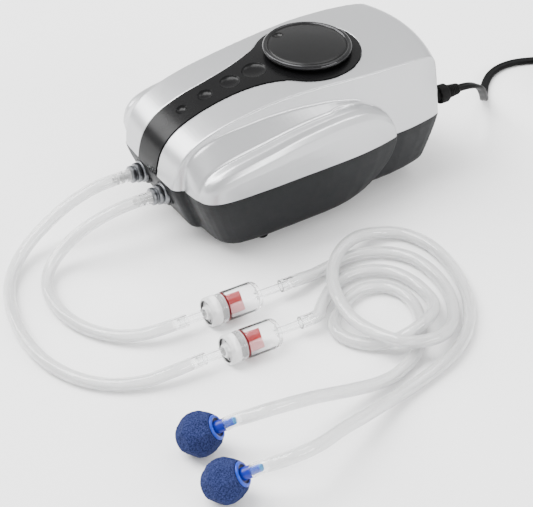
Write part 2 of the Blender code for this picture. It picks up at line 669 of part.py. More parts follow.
def make_drive(side, name, steel, rubber, plastic, magnet, collection, work):
    """One swing arm with its magnet, pivot rubber, pump chamber, diaphragm and air tube."""
    def span(a, b):
        return (min(side * a, side * b), max(side * a, side * b))

    z = DRIVE_Z
    x0, x1 = span(ARM_X - 0.8, ARM_X + 0.8)
    arm = box(f"swing_arm_{name}", (x0, CHAMBER_Y - 6, z - 5), (x1, ARM_PIVOT_Y + 4, z + 5), steel, collection)
    stud = turned("stud", ((0, 4.4), (2.0, 4.4), (2.0, 0), (0, 0)), (side * ARM_X, CHAMBER_Y, z),
                  "X", steel, work, 20, direction=(side, 0, 0))
    combine(arm, stud, "UNION")
    m0, m1 = span(ARM_X - 1.1, ARM_X - 3.0)
    box(f"arm_magnet_{name}", (m0, 11, z - 6), (m1, 24, z + 6), magnet, collection)
    p0, p1 = span(ARM_X - 4.5, ARM_X + 4.5)
    pivot = box(f"arm_pivot_{name}", (p0, ARM_PIVOT_Y - 3.4, BASE_Z + WALL + GAP),
                (p1, ARM_PIVOT_Y + 3.4, z + 7), rubber, collection)
    s0, s1 = span(ARM_X - 1.1, ARM_X + 1.1)
    combine(pivot, box("slit", (s0, ARM_PIVOT_Y - 9, z - 5.3), (s1, ARM_PIVOT_Y + 9, z + 9), rubber, work),
            "DIFFERENCE")

    c0, c1 = span(25.0, 31.0)
    chamber = box(f"pump_chamber_{name}", (c0, CHAMBER_Y - 12, POD_BASE_Z + WALL + GAP),
                  (c1, CHAMBER_Y + 12, z + 12), plastic, collection)
    bowl = turned("bowl", ((0, 9), (8.4, 9), (8.4, 2.2), (0, 2.2)), (side * 28.0, CHAMBER_Y, z), "X",
                  plastic, work, 20, direction=(-side, 0, 0))
    combine(chamber, bowl, "DIFFERENCE")
    for dy in (-4, 4):
        port = turned("port", ((0, 9), (1.2, 9), (1.2, -9), (0, -9)), (side * 28.0, CHAMBER_Y + dy, z),
                      "X", plastic, work, 12)
        combine(chamber, port, "DIFFERENCE")
    d = 25.0 - GAP
    turned(f"diaphragm_{name}", ((0, 3.3), (4.2, 3.3), (5.6, 2.5), (7.4, 1.3), (10.2, 1.3), (10.2, 0),
                                 (6.8, 0), (5.2, 1.2), (3.9, 2.1), (0, 2.1)),
           (side * d, CHAMBER_Y, z), "X", rubber, collection, 20, direction=(-side, 0, 0))
    v0, v1 = span(31.0 + GAP, 31.9)
    box(f"valve_flap_{name}", (v0, CHAMBER_Y - 9, z - 6), (v1, CHAMBER_Y + 9, z + 6), rubber, collection)
    k0, k1 = span(31.9 + GAP, 34.4)
    cover = box(f"chamber_cover_{name}", (k0, CHAMBER_Y - 11, z - 9), (k1, CHAMBER_Y + 11, z + 9),
                plastic, collection)
    for dy in (-4, 4):
        o0, o1 = span(31.5, 33.4)
        room = box("room", (o0, CHAMBER_Y + dy - 2.4, z - 3), (o1, CHAMBER_Y + dy + 2.4, z + 3), plastic, work)
        combine(cover, room, "DIFFERENCE")
    stub = turned("stub", ((0, 6.0), (1.8, 6.0), (1.8, -2), (0, -2)), (side * 33.2, CHAMBER_Y - 11, z),
                  "-Y", plastic, work, 16)
    combine(cover, stub, "UNION")

    start = (side * 33.2, CHAMBER_Y - 17.4, z)
    end = (side * OUTLET_X, OUTLET_FACE_Y + 8.4, OUTLET_Z)
    route = (start, (side * 32.6, -22, z), (side * 28.5, -31, z + 0.3), (side * 20.5, -37, z + 0.4),
             (side * 12.5, -42, z + 0.4), (side * 9.2, -49, z + 0.4), (side * 10.3, -56, z + 0.4), end)
    tube(f"air_tube_{name}", through(route, 2), 2.6, rubber, collection)


# ---------------------------------------------------------------- feet and screws
def make_fixings(rubber, steel, collection, work):
    names = ("front_right", "front_left", "rear_right", "rear_left")
    for (x, y, underside), name in zip(FEET, names):
        collar = underside - GAP
        dome = [(FOOT_FLAT_RADIUS + (FOOT_RADIUS - FOOT_FLAT_RADIUS) * math.sin(math.radians(a)),
                 2.6 - 2.6 * math.cos(math.radians(a))) for a in (90, 60, 30, 0)]
        profile = [(0, underside + 2.3), (1.6, underside + 2.3), (1.6, collar), (FOOT_RADIUS, collar),
                   *dome, (0, 0)]
        turned(f"foot_{name}", profile, (x, y, 0), "Z", rubber, collection, 18)
    for (x, y, _), name in zip(SCREWS, names):
        seat = SCREW_SEAT_Z - GAP
        screw = turned(f"shell_screw_{name}", ((0, 42.0), (1.3, 42.0), (1.3, seat), (2.7, seat),
                                              (2.7, seat - 1.5), (0, seat - 1.5)), (x, y, 0), "Z",
                       steel, collection, 16)
        slot = box("slot", (x - 1.6, y - 0.35, 8), (x + 1.6, y + 0.35, seat - 0.8), steel, work)
        combine(screw, slot, "DIFFERENCE")


# ---------------------------------------------------------------- cords and what is on them
def tube(name, points, radius, material, collection):
    curve = bpy.data.curves.new(name, "CURVE")
    curve.dimensions = "3D"
    curve.twist_mode = "Z_UP"
    curve.resolution_u = 1
    curve.render_resolution_u = 0
    curve.use_fill_caps = True
    curve.bevel_depth = radius * MM
    curve.bevel_resolution = 2
    spline = curve.splines.new("POLY")
    spline.points.add(len(points) - 1)
    for target, point in zip(spline.points, points):
        target.co = (*(Vector(point) * MM), 1.0)
    return place(name, curve, material, collection)


def resample(points, spacing):
    """Points at an even spacing along a smooth curve through the route's own points."""
    fine = [Vector(p) for p in through(points, 12)]
    lengths = [0.0]
    for a, b in zip(fine, fine[1:]):
        lengths.append(lengths[-1] + (b - a).length)
    count = max(2, round(lengths[-1] / spacing))
    result, index = [], 0
    for k in range(count + 1):
        at = lengths[-1] * k / count
        while index < len(fine) - 2 and lengths[index + 1] < at:
            index += 1
        step = lengths[index + 1] - lengths[index]
        t = (at - lengths[index]) / step if step > 0 else 0.0
        result.append(tuple(fine[index].lerp(fine[index + 1], min(max(t, 0.0), 1.0))))
    return result


# Routes of the cords: points chosen by hand, in order, each the middle of the cord.
HOSE_ROUTES = {
    "hose_left_outlet": (
        (-10.8, -88.9, 26.4), (-11.3, -99.0, 25.0), (-12.0, -111.5, 20.4), (-11.3, -123.5, 14.2),
        (-8.0, -135.5, 8.4), (-0.5, -146.5, 4.4), (12.0, -155.5, 3.1), (29.0, -162.0, 3.1),
        (49.0, -165.5, 3.1), (69.0, -164.5, 3.1), (86.0, -158.0, 3.1), (98.0, -147.0, 3.1),
        (104.6, -134.0, 3.9), (107.2, -121.4, 5.9), (107.8, -109.1, 7.1)),
    "hose_right_outlet": (
        (10.8, -88.9, 26.4), (10.6, -98.0, 25.4), (9.2, -107.5, 22.0), (7.2, -116.0, 16.8),
        (6.8, -124.0, 11.2), (9.2, -131.5, 6.6), (16.0, -138.0, 3.8), (28.0, -142.3, 3.1),
        (43.0, -142.8, 3.1), (57.0, -138.8, 3.1), (68.5, -130.8, 3.4), (75.8, -121.6, 4.8),
        (79.2, -112.0, 6.5), (80.0, -103.1, 7.1)),
    "hose_to_lower_stone": (
        (80.0, -44.4, 7.1), (79.5, -39.0, 6.7), (77.8, -31.5, 4.9), (75.0, -22.0, 3.3),
        (73.0, -10.0, 3.1), (74.0, 1.0, 3.1), (79.0, 11.0, 3.1), (88.0, 18.0, 3.1), (100.0, 20.5, 3.1),
        (113.0, 19.5, 3.1), (125.5, 15.5, 3.3), (137.0, 8.5, 4.6), (146.5, -1.5, 7.4),
        (150.5, -12.5, 9.8), (147.0, -24.0, 10.6), (136.5, -31.8, 10.8), (120.0, -35.0, 9.4),
        (103.0, -32.5, 9.9), (88.0, -26.0, 9.9), (75.5, -14.8, 9.9), (67.0, -1.0, 8.0),
        (64.5, 12.0, 5.0), (68.5, 23.5, 3.3), (78.5, 30.0, 3.1), (92.0, 32.0, 3.1), (108.0, 30.0, 3.1),
        (125.0, 24.5, 3.1), (140.5, 15.0, 3.1), (152.5, 2.5, 3.1), (160.0, -12.0, 3.1),
        (165.7, -30.7, 3.1), (169.6, -43.0, 4.6), (175.0, -56.4, 8.0), (181.3, -70.1, 12.6),
        (187.5, -83.6, 17.3), (194.6, -96.8, 22.0), (197.8, -104.6, 24.4), (198.6, -112.4, 25.0),
        (196.9, -119.2, 23.5), (193.2, -124.5, 20.3)),
    "hose_to_upper_stone": (
        (107.8, -50.0, 7.1), (107.0, -45.6, 6.9), (102.2, -41.0, 5.8), (95.2, -34.4, 4.0),
        (89.0, -26.4, 3.1), (85.0, -15.6, 3.1), (86.5, -4.0, 3.1), (93.0, 4.2, 3.1), (103.5, 8.3, 3.1),
        (115.0, 8.6, 3.4), (126.0, 5.2, 5.6), (135.0, -2.8, 8.9), (139.8, -13.5, 9.4),
        (138.6, -24.0, 5.9), (133.4, -33.0, 3.3), (126.4, -39.4, 3.1), (118.6, -41.8, 3.1),
        (110.8, -39.0, 3.1), (104.8, -32.0, 3.1), (99.8, -24.0, 3.1), (97.2, -15.0, 3.1),
        (99.4, -6.6, 3.1), (105.6, -1.6, 3.1), (114.0, -0.2, 3.1), (124.0, -2.4, 3.1),
        (134.0, -7.4, 3.1), (143.0, -14.0, 3.1), (150.5, -22.5, 3.1), (156.2, -35.9, 3.1),
        (158.6, -47.4, 4.9), (161.0, -59.4, 9.0), (163.6, -71.5, 13.9), (166.0, -83.2, 18.7),
        (168.5, -93.6, 22.6), (169.5, -101.4, 24.6), (169.1, -108.6, 25.1), (166.9, -114.9, 23.5),
        (163.0, -119.7, 20.3)),
}
CORD_WIDTH = 4.6               # flat twin-core mains lead
CORD_THICKNESS = 2.6
CORD_ROUTE = (
    (25.0, 87.1, 41.8), (24.7, 93.0, 41.2), (22.8, 99.0, 38.4), (18.4, 106.0, 32.2), (12.0, 113.0, 23.4),
    (4.2, 120.0, 14.2), (-4.8, 127.0, 6.8), (-14.2, 134.0, 2.4), (-23.0, 141.4, 1.4),
    (-29.5, 149.5, 1.4), (-32.9, 158.5, 1.4), (-33.0, 168.0, 1.4), (-30.0, 177.5, 1.4),
    (-26.6, 185.6, 1.4), (-23.2, 193.9, 1.4))
COIL_CENTRE = (11.5, 199.9)
COIL_OUTER = 33.0              # outside the outermost turn
COIL_INNER = 18.1
COIL_LOW = 1.1
COIL_HIGH = 12.1
PLUG_START = (43.6, 214.6, 7.4)
PLUG_HEADING = (0.819, -0.574, 0.0)
VALVES = (("right", 80.0, -88.4), ("left", 107.8, -94.4))
VALVE_Z = 7.1
LIP_Y = 19.0                   # distance of the duckbill's lips from the cap's face
LIP_HALF_WIDTH = 4.3
LIP_HALF_THICKNESS = 0.5
LIP_DIRECTION = Vector((-0.65, 0.0, 0.76)).normalized()
STONES = (("lower", (183.1, -137.3, 10.0), (0.524, 0.661, 0.537)),
          ("upper", (152.9, -132.5, 10.0), (0.525, 0.664, 0.533)))


def flat_rings(points, sides=12):
    """Rings of the flat lead along a route, its wide side kept level."""
    route = [Vector(p) for p in points]
    rings = []
    for i, point in enumerate(route):
        ahead = (route[min(i + 1, len(route) - 1)] - route[max(i - 1, 0)]).normalized()
        across = ahead.cross(Vector((0, 0, 1))).normalized()
        up = across.cross(ahead)
        rings.append([point + across * (CORD_WIDTH / 2 * math.cos(2 * math.pi * k / sides))
                      + up * (CORD_THICKNESS / 2 * math.sin(2 * math.pi * k / sides))
                      for k in range(sides)])
    return rings


def make_hoses(clear, collection):
    for name, route in HOSE_ROUTES.items():
        tube(name, resample(route, 9.0), HOSE_RADIUS, clear, collection)


def make_check_valves(clear, red, collection, work):
    for side, x, inlet_y in VALVES:
        def along(name, profile, material, where, steps=20):
            return turned(name, profile, (x, inlet_y, VALVE_Z), "Y", material, where, steps)

        cap = along(f"check_valve_cap_{side}", (
            (0, 8.0), (7.0, 8.0), (7.0, 0.6), (6.5, 0.0), (3.9, 0.0), (3.9, -1.4), (2.3, -1.4),
            (2.3, -12.4), (1.8, -14.4), (0, -14.4)), clear, collection)
        combine(cap, along("room", ((0, 9), (5.9, 9), (5.9, 2.6), (0, 2.6)), clear, work), "DIFFERENCE")
        combine(cap, along("bore", ((0, 4), (1.1, 4), (1.1, -16), (0, -16)), clear, work, 12), "DIFFERENCE")
        smooth(cap)
        body = along(f"check_valve_body_{side}", (
            (0, 43.4), (1.8, 43.4), (2.3, 41.4), (2.3, 28.4), (3.4, 27.2), (5.2, 26.6), (6.5, 25.4),
            (7.0, 23.6), (7.0, 9.6), (0, 9.6)), clear, collection)
        combine(body, along("room", ((0, 24.4), (5.0, 24.4), (5.9, 22.8), (5.9, 9), (0, 9)), clear, work),
                "DIFFERENCE")
        combine(body, along("bore", ((0, 45), (1.1, 45), (1.1, 20), (0, 20)), clear, work, 12), "DIFFERENCE")
        smooth(body)
        bill = along(f"duckbill_{side}", (
            (0, LIP_Y), (LIP_HALF_THICKNESS, LIP_Y), (4.4, 9.4), (6.8, 9.3), (6.8, 8.3), (0, 8.3)),
                     red, collection)
        middle = Vector((x, inlet_y + LIP_Y, VALVE_Z)) * MM
        for vertex in bill.data.vertices:
            if abs(vertex.co.y - middle.y) < GAP * MM:
                reach = (vertex.co - middle).dot(LIP_DIRECTION)
                vertex.co += LIP_DIRECTION * reach * (LIP_HALF_WIDTH / LIP_HALF_THICKNESS - 1)


def make_stones(stone, blue, collection):
    for side, centre, axis in STONES:
        ball = [(9.9 * math.sin(math.radians(a)), 9.9 * math.cos(math.radians(a)))
                for a in range(36, 180, 18)]
        turned(f"air_stone_{side}", ((0, 5.6), (4.7, 5.6), (4.7, 8.0), *ball, (0, -9.9)), centre, "Z",
               stone, collection, 20, direction=axis)
        turned(f"air_stone_stem_{side}", (
            (0, 18.6), (1.5, 18.6), (1.75, 17.4), (1.75, 14.3), (2.7, 14.2), (2.7, 8.8), (3.9, 8.8),
            (3.9, 10.0), (5.5, 10.0), (5.5, 8.3), (4.3, 8.3), (4.3, 5.9), (0, 5.9)), centre, "Z", blue,
            collection, 20, direction=axis)


def make_mains_lead(rubber, metal, collection, work):
    turned("strain_relief", (
        (0, 86.8), (2.6, 86.8), (3.3, 80.8), (3.8, 80.4), (3.9, 79.4), (4.7, 79.0), (4.8, 74.6),
        (3.2, 74.4), (3.2, 67.4), (3.9, 67.2), (3.9, 62.4), (0, 62.4)), (GLAND_X, 0, GLAND_Z), "Y",
        rubber, collection, 20)

    loft("power_cord", flat_rings(resample(CORD_ROUTE, 9.0)), rubber, collection)
    turned("power_cord_coil", ((COIL_OUTER - 1.2, COIL_HIGH), (COIL_OUTER, COIL_HIGH - 1.2),
                               (COIL_OUTER, COIL_LOW + 1.2), (COIL_OUTER - 1.2, COIL_LOW),
                               (COIL_INNER + 1.2, COIL_LOW), (COIL_INNER, COIL_LOW + 1.2),
                               (COIL_INNER, COIL_HIGH - 1.2), (COIL_INNER + 1.2, COIL_HIGH)),
           (*COIL_CENTRE, 0), "Z", rubber, collection, 40)
    cx, cy = COIL_CENTRE
    tie = box("cord_tie", (cx + COIL_INNER - 1.2, cy - 2.0, 0.0),
              (cx + COIL_OUTER + 1.2, cy + 2.0, COIL_HIGH + 1.1), metal, collection)
    room = box("room", (cx + COIL_INNER - 0.4, cy - 5, COIL_LOW - 0.4),
               (cx + COIL_OUTER + 0.4, cy + 5, COIL_HIGH + 0.4), metal, work)
    combine(tie, room, "DIFFERENCE")

    heading = Vector(PLUG_HEADING)
    across = Vector((-heading.y, heading.x, 0))
    start = Vector(PLUG_START)

    def plug_ring(forward, half_width, half_height, corner=0.75):
        ring = []
        for i in range(20):
            angle = 2 * math.pi * i / 20
            c, s = math.cos(angle), math.sin(angle)
            ring.append(start + heading * forward
                        + across * (half_width * math.copysign(abs(c) ** corner, c))
                        + Vector((0, 0, half_height * math.copysign(abs(s) ** corner, s))))
        return ring

    body = loft("plug_body", [plug_ring(f, w, h, k) for f, w, h, k in (
        (0, 2.6, 2.0, 1.0), (18, 4.2, 3.6, 1.0), (20, 6.5, 4.6, 0.7), (24, 9.6, 5.6, 0.5),
        (34, 11.2, 6.4, 0.45), (46, 11.6, 6.9, 0.45), (47.2, 11.0, 6.4, 0.45))], rubber, collection)
    smooth(body, 40)
    for side, name in ((-1, "near"), (1, "far")):
        blade = box(f"plug_blade_{name}", (47.5, side * 6.35 - 0.75, -3.15), (64.0, side * 6.35 + 0.75, 3.15),
                    metal, collection)
        round_edges(blade, 0.5)
        turn = Matrix((heading, across, (0, 0, 1))).transposed().to_4x4()
        blade.data.transform(Matrix.Translation(start * MM) @ turn)


def main():
    clear_scene()
    parts = make_collection("air_pump")
    work = make_collection("cutters")
    silver = make_material("silver_plastic", (0.62, 0.63, 0.64), 0.32, 0.35)
    charcoal = make_material("charcoal_plastic", (0.05, 0.052, 0.055), 0.55)
    black = make_material("black_gloss_plastic", (0.012, 0.012, 0.013), 0.25)
    rubber = make_material("black_rubber", (0.015, 0.015, 0.015), 0.7)
    chrome = make_material("chromed_fitting", (0.75, 0.75, 0.76), 0.12, 1.0)
    steel = make_material("steel", (0.5, 0.5, 0.52), 0.35, 1.0)
    board = make_material("circuit_board", (0.03, 0.17, 0.07), 0.5)
    copper = make_material("copper_wire", (0.55, 0.2, 0.08), 0.35, 1.0)
    magnet = make_material("magnet", (0.28, 0.28, 0.29), 0.4, 0.8)
    white = make_material("white_plastic", (0.75, 0.75, 0.72), 0.45)
    clear = make_material("clear_vinyl", (0.85, 0.87, 0.88), 0.15)
    red = make_material("red_rubber", (0.55, 0.02, 0.03), 0.4)
    stone = make_material("blue_stone", (0.03, 0.06, 0.25), 0.95)
    blue = make_material("blue_plastic", (0.05, 0.25, 0.8), 0.3)
    felt = make_material("felt", (0.7, 0.7, 0.66), 0.95)

    make_base(charcoal, parts, work)
    make_top(silver, black, parts, work)
    make_knob(black, steel, board, parts, work)
    make_outlets(chrome, parts, work)
    make_filter(felt, charcoal, parts, work)
    make_electromagnet(steel, white, copper, parts, work)
    for side, name in ((1, "right"), (-1, "left")):
        make_drive(side, name, steel, rubber, white, magnet, parts, work)
    make_fixings(rubber, steel, parts, work)
    make_mains_lead(rubber, steel, parts, work)
    make_hoses(clear, parts)
    make_check_valves(clear, red, parts, work)
    make_stones(stone, blue, parts)


main()
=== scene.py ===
"""Looks of the aquarium air pump: shells, hoses, valves, stones and mains lead.

Lengths in the code are millimetres, turned into metres by MM. Pieces are shaped in the work
collection, and show() moves them to the shown one when they are finished.
"""
import math

import bmesh
import bpy
from mathutils import Matrix, Vector, noise


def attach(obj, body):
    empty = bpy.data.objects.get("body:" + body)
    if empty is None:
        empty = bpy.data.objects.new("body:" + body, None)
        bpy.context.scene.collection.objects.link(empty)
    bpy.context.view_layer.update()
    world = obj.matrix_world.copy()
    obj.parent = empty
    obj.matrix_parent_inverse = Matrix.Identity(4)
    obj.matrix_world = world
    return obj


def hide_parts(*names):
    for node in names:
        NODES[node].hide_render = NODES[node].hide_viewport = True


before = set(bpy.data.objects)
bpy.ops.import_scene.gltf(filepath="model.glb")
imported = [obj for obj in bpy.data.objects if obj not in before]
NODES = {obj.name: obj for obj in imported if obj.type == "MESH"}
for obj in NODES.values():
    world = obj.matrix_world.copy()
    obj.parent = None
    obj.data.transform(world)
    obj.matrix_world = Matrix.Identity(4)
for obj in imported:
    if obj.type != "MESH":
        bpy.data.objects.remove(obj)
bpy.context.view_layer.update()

MM = 0.001
GAP = 0.3                      # between the top shell and the base
HALF_LENGTH = 75.0
SEAM_Z = 36.0
BASE_Z = 7.5                   # underside of the middle
POD_BASE_Z = 4.2               # underside of the side pods
WALL = 2.2
KNOB_CENTRE_Y = 13.4
KNOB_RADIUS = 21.8
KNOB_BOTTOM_Z = 74.1
KNOB_TOP_Z = 77.3
RING_RADIUS = 26.0             # the inlay's ring around the dial
INLAY_HALF_WIDTH = 8.8
INLAY_THICKNESS = 2.1
OUTLET_X = 10.75
OUTLET_Z = 26.4
OUTLET_FACE_Y = -71.6
SEAT_RADIUS = 6.0              # spot face around each outlet
SEAT_WALL = 0.6                # plastic around that face
OUTLET_HOLE_RADIUS = 4.2
GLAND_X = 25.0
GLAND_Z = 41.8
# feet: x, y and the height of the underside above them
FEET = ((33.2, -31.5, POD_BASE_Z), (-33.2, -31.5, POD_BASE_Z),
        (16.5, 41.0, BASE_Z), (-16.5, 41.0, BASE_Z))
FOOT_STEM_Z = 2.3              # above the underside
FOOT_HOLE = (1.9, -3, 2.6)     # radius, low and high end
SCREWS = ((18.5, -49.0), (-18.5, -49.0), (24.0, 46.0), (-24.0, 46.0))
POST = (4.2, BASE_Z + 0.6, 31.0)
SCREW_HOLES = ((3.1, 0, 21.0), (1.6, 10, 36.0))
FILTER_Y = -38.0
INTAKE = (9.3, -3, 3)
UP = Vector((0, 0, 1))

work = bpy.data.collections.new("shaping")
bpy.context.scene.collection.children.link(work)
shown = bpy.data.collections.new("looks")
bpy.context.scene.collection.children.link(shown)


# ---------------------------------------------------------------- mesh tools
def place(name, data, collection=work):
    item = bpy.data.objects.new(name, data)
    collection.objects.link(item)
    return item


def bake(item):
    """Replace an object's mesh with what its modifiers make of it."""
    depsgraph = bpy.context.evaluated_depsgraph_get()
    mesh = bpy.data.meshes.new_from_object(item.evaluated_get(depsgraph))
    item.modifiers.clear()
    item.data = mesh


def combine(target, tool, operation="DIFFERENCE", solver="EXACT"):
    modifier = target.modifiers.new("Combine", "BOOLEAN")
    modifier.operation = operation
    modifier.solver = solver
    modifier.object = tool
    bake(target)
    bpy.data.objects.remove(tool, do_unlink=True)


def change(target, tool, operation="DIFFERENCE"):
    """A Boolean on the body shells, whose grazing crossings the EXACT solver loses."""
    combine(target, tool, operation, "MANIFOLD")


def smooth(item, degrees=32):
    item.data.shade_smooth()
    item.data.set_sharp_from_angle(angle=math.radians(degrees))
    return item


def from_bmesh(name, bm, collection=work):
    bmesh.ops.recalc_face_normals(bm, faces=bm.faces)
    mesh = bpy.data.meshes.new(name)
    bm.to_mesh(mesh)
    bm.free()
    return place(name, mesh, collection)


def band(bm, low, high):
    """Faces between two rings of equally many corners."""
    for i in range(len(low)):
        j = (i + 1) % len(low)
        bm.faces.new((low[i], low[j], high[j], high[i]))


def loft(name, rings):
    """A closed solid through rings of equally many points, capped at both ends."""
    bm = bmesh.new()
    rows = [[bm.verts.new(Vector(p) * MM) for p in ring] for ring in rings]
    count = len(rings[0])
    for low, high in zip(rows, rows[1:]):
        band(bm, low, high)
    for row in (rows[0], rows[-1]):
        hub = bm.verts.new(sum((v.co for v in row), Vector()) / count)
        for i in range(count):
            bm.faces.new((row[i], row[(i + 1) % count], hub))
    return from_bmesh(name, bm)


def box(low, high):
    bm = bmesh.new()
    bmesh.ops.create_cube(bm, size=1.0)
    size = [(b - a) * MM for a, b in zip(low, high)]
    middle = [(a + b) / 2 * MM for a, b in zip(low, high)]
    bmesh.ops.scale(bm, vec=size, verts=bm.verts)
    bmesh.ops.translate(bm, vec=middle, verts=bm.verts)
    return from_bmesh("box", bm)


AXES = {"Y": Matrix.Rotation(math.radians(-90), 4, "X"),
        "-Y": Matrix.Rotation(math.radians(90), 4, "X"),
        "Z": Matrix.Identity(4)}
MERGE_WITHIN = 0.00001         # metres


def turned(name, profile, origin, axis, steps=32):
    """Turn (radius, height) points, listed from the top down, about a named axis or a direction.

    The profile starts and ends on the axis.
    """
    bm = bmesh.new()
    verts = [bm.verts.new((r * MM, 0.0, h * MM)) for r, h in profile]
    for a, b in zip(verts, verts[1:]):
        bm.edges.new((a, b))
    mesh = bpy.data.meshes.new(name)
    bm.to_mesh(mesh)
    bm.free()
    item = place(name, mesh)
    screw = item.modifiers.new("Turn", "SCREW")
    screw.steps = steps
    screw.render_steps = steps
    screw.use_merge_vertices = True
    screw.merge_threshold = MERGE_WITHIN
    screw.use_smooth_shade = True
    bake(item)
    if isinstance(axis, str):
        turn = AXES[axis]
    else:
        turn = UP.rotation_difference(Vector(axis)).to_matrix().to_4x4()
    item.data.transform(Matrix.Translation(Vector(origin) * MM) @ turn)
    bm = bmesh.new()
    bm.from_mesh(item.data)
    bmesh.ops.recalc_face_normals(bm, faces=bm.faces)
    bm.to_mesh(item.data)
    bm.free()
    return smooth(item)


def rod(size, origin, axis, steps=32):
    """A plain cylinder, to add or to cut away; size is its radius, low and high end."""
    radius, low, high = size
    return turned("rod", ((0, high), (radius, high), (radius, low), (0, low)), origin, axis, steps)


def through(points, per_span):
    """Catmull-Rom curve through points of any size, with its ends included."""
    ends = [[2 * a - b for a, b in zip(points[0], points[1])],
            [2 * a - b for a, b in zip(points[-1], points[-2])]]
    chain = [ends[0], *points, ends[1]]
    result = []
    for p0, p1, p2, p3 in zip(chain, chain[1:], chain[2:], chain[3:]):
        for k in range(per_span):
            t = k / per_span
            result.append([0.5 * (2 * b + (c - a) * t + (2 * a - 5 * b + 4 * c - d) * t * t
                                  + (3 * b - a - 3 * c + d) * t ** 3)
                           for a, b, c, d in zip(p0, p1, p2, p3)])
    result.append(list(points[-1]))
    return result


def oval(centre, wide, tall, power, count):
    """A ring of points that gets more square as the power falls; wide and tall are each a
    direction and a half-width along it."""
    ring = []
    for i in range(count):
        angle = 2 * math.pi * i / count
        c, s = math.cos(angle), math.sin(angle)
        ring.append(centre + wide[0] * (wide[1] * math.copysign(abs(c) ** power, c))
                    + tall[0] * (tall[1] * math.copysign(abs(s) ** power, s)))
    return ring


# Stations of the roof, from the front seam over the top to the rear seam:
# y and z of the shoulder edge, its half-width, the crown's height at the middle, the bulge
# of the row along Y at the middle, and the half-width of the side wall at the seam.
ROOF = (
    (-75.4, 30.0, 22.4, 0.0, 0.4, 22.4),
    (-74.9, 36.0, 22.9, 0.0, 0.5, 22.9),
    (-73.9, 42.0, 24.4, 0.1, 0.7, 24.6),
    (-71.8, 48.5, 25.5, 0.2, 0.7, 26.0),
    (-68.0, 54.2, 25.9, 0.2, 0.4, 26.8),
    (-62.0, 59.0, 26.1, 0.2, 0.2, 28.2),
    (-52.0, 63.3, 26.5, 0.2, 0.0, 31.5),
    (-40.0, 66.4, 26.9, 0.4, 0.0, 33.5),
    (-26.0, 68.9, 27.2, 0.9, 0.0, 35.0),
    (-11.0, 70.6, 28.2, 1.5, 0.0, 36.2),
    (5.0, 71.5, 29.9, 1.8, 0.0, 37.0),
    (20.0, 71.8, 31.5, 1.8, 0.0, 37.2),
    (35.0, 71.7, 32.1, 1.8, 0.4, 37.1),
    (49.0, 71.3, 31.7, 1.9, 1.4, 36.4),
    (59.0, 70.7, 30.7, 2.0, 3.0, 34.8),
    (65.2, 69.6, 29.6, 2.0, 4.2, 33.4),
    (68.4, 66.0, 29.4, 1.2, 4.6, 32.4),
    (69.4, 60.0, 29.9, 0.4, 4.4, 31.9),
    (70.2, 48.0, 30.8, 0.0, 4.2, 31.7),
    (70.8, 36.0, 31.6, 0.0, 4.2, 31.6),
    (71.0, 30.0, 32.0, 0.0, 4.2, 32.0),
)

# Stations of the right fender: y, z of its upper line at the step, z at the pontoon's
# crease, and its half-width.
FENDER = (
    (-70.0, 34.0, 33.0, 27.6),
    (-69.6, 41.0, 35.5, 31.5),
    (-68.7, 46.4, 38.5, 36.6),
    (-67.0, 50.2, 42.5, 39.6),
    (-64.3, 53.6, 46.4, 41.8),
    (-60.0, 56.4, 49.2, 43.0),
    (-53.0, 59.2, 51.7, 43.4),
    (-44.0, 61.3, 53.7, 43.4),
    (-31.0, 63.3, 56.1, 43.2),
    (-18.0, 64.6, 58.6, 42.6),
    (-6.0, 65.1, 60.2, 41.8),
    (6.0, 64.6, 61.0, 36.5),
    (16.0, 62.6, 60.4, 35.6),
    (24.0, 59.6, 58.6, 34.4),
    (30.0, 56.0, 55.4, 33.2),
)

# Stations of the right pontoon: y, height of its crease, half-width at the crease, and
# half-width at the seam.
PONTOON = (
    (-68.1, 34.5, 35.8, 37.4),
    (-67.8, 38.6, 36.0, 39.4),
    (-66.6, 42.6, 36.3, 41.6),
    (-64.3, 46.2, 36.6, 43.6),
    (-60.0, 49.2, 36.9, 45.4),
    (-53.0, 51.7, 37.0, 46.2),
    (-44.0, 53.7, 37.0, 46.3),
    (-31.0, 56.1, 37.0, 46.0),
    (-18.0, 58.6, 36.9, 45.4),
    (-6.0, 60.2, 36.7, 44.9),
    (6.0, 61.0, 36.2, 44.3),
    (16.0, 60.6, 35.6, 43.6),
    (24.0, 58.8, 35.2, 42.6),
    (30.5, 55.4, 35.2, 41.5),
    (35.5, 51.0, 35.6, 40.4),
    (39.4, 45.4, 36.3, 39.4),
    (41.4, 39.6, 36.9, 38.7),
    (42.1, 34.5, 37.3, 38.3),
)

SKIRT_Z = 24.0                 # the body solids run this low before the seam trims them


def inset_y(y, inset):
    return y * (HALF_LENGTH - inset) / HALF_LENGTH


def roof_rows(per_span, across, inset=0.0):
    """Rows of points over the roof, each from the left shoulder edge to the right one."""
    rows = []
    for y, z, half, crown, bulge, foot in through(ROOF, per_span):
        half -= inset
        row = []
        for i in range(-across, across + 1):
            t = i / across
            spread = 1 - t ** 2
            row.append((t * half, inset_y(y + math.copysign(bulge * spread, y), inset),
                        z - inset + crown * spread))
        rows.append((row, foot - inset))
    return rows


BELLY = 0.55                   # share of the side wall's lean that it has at mid-height


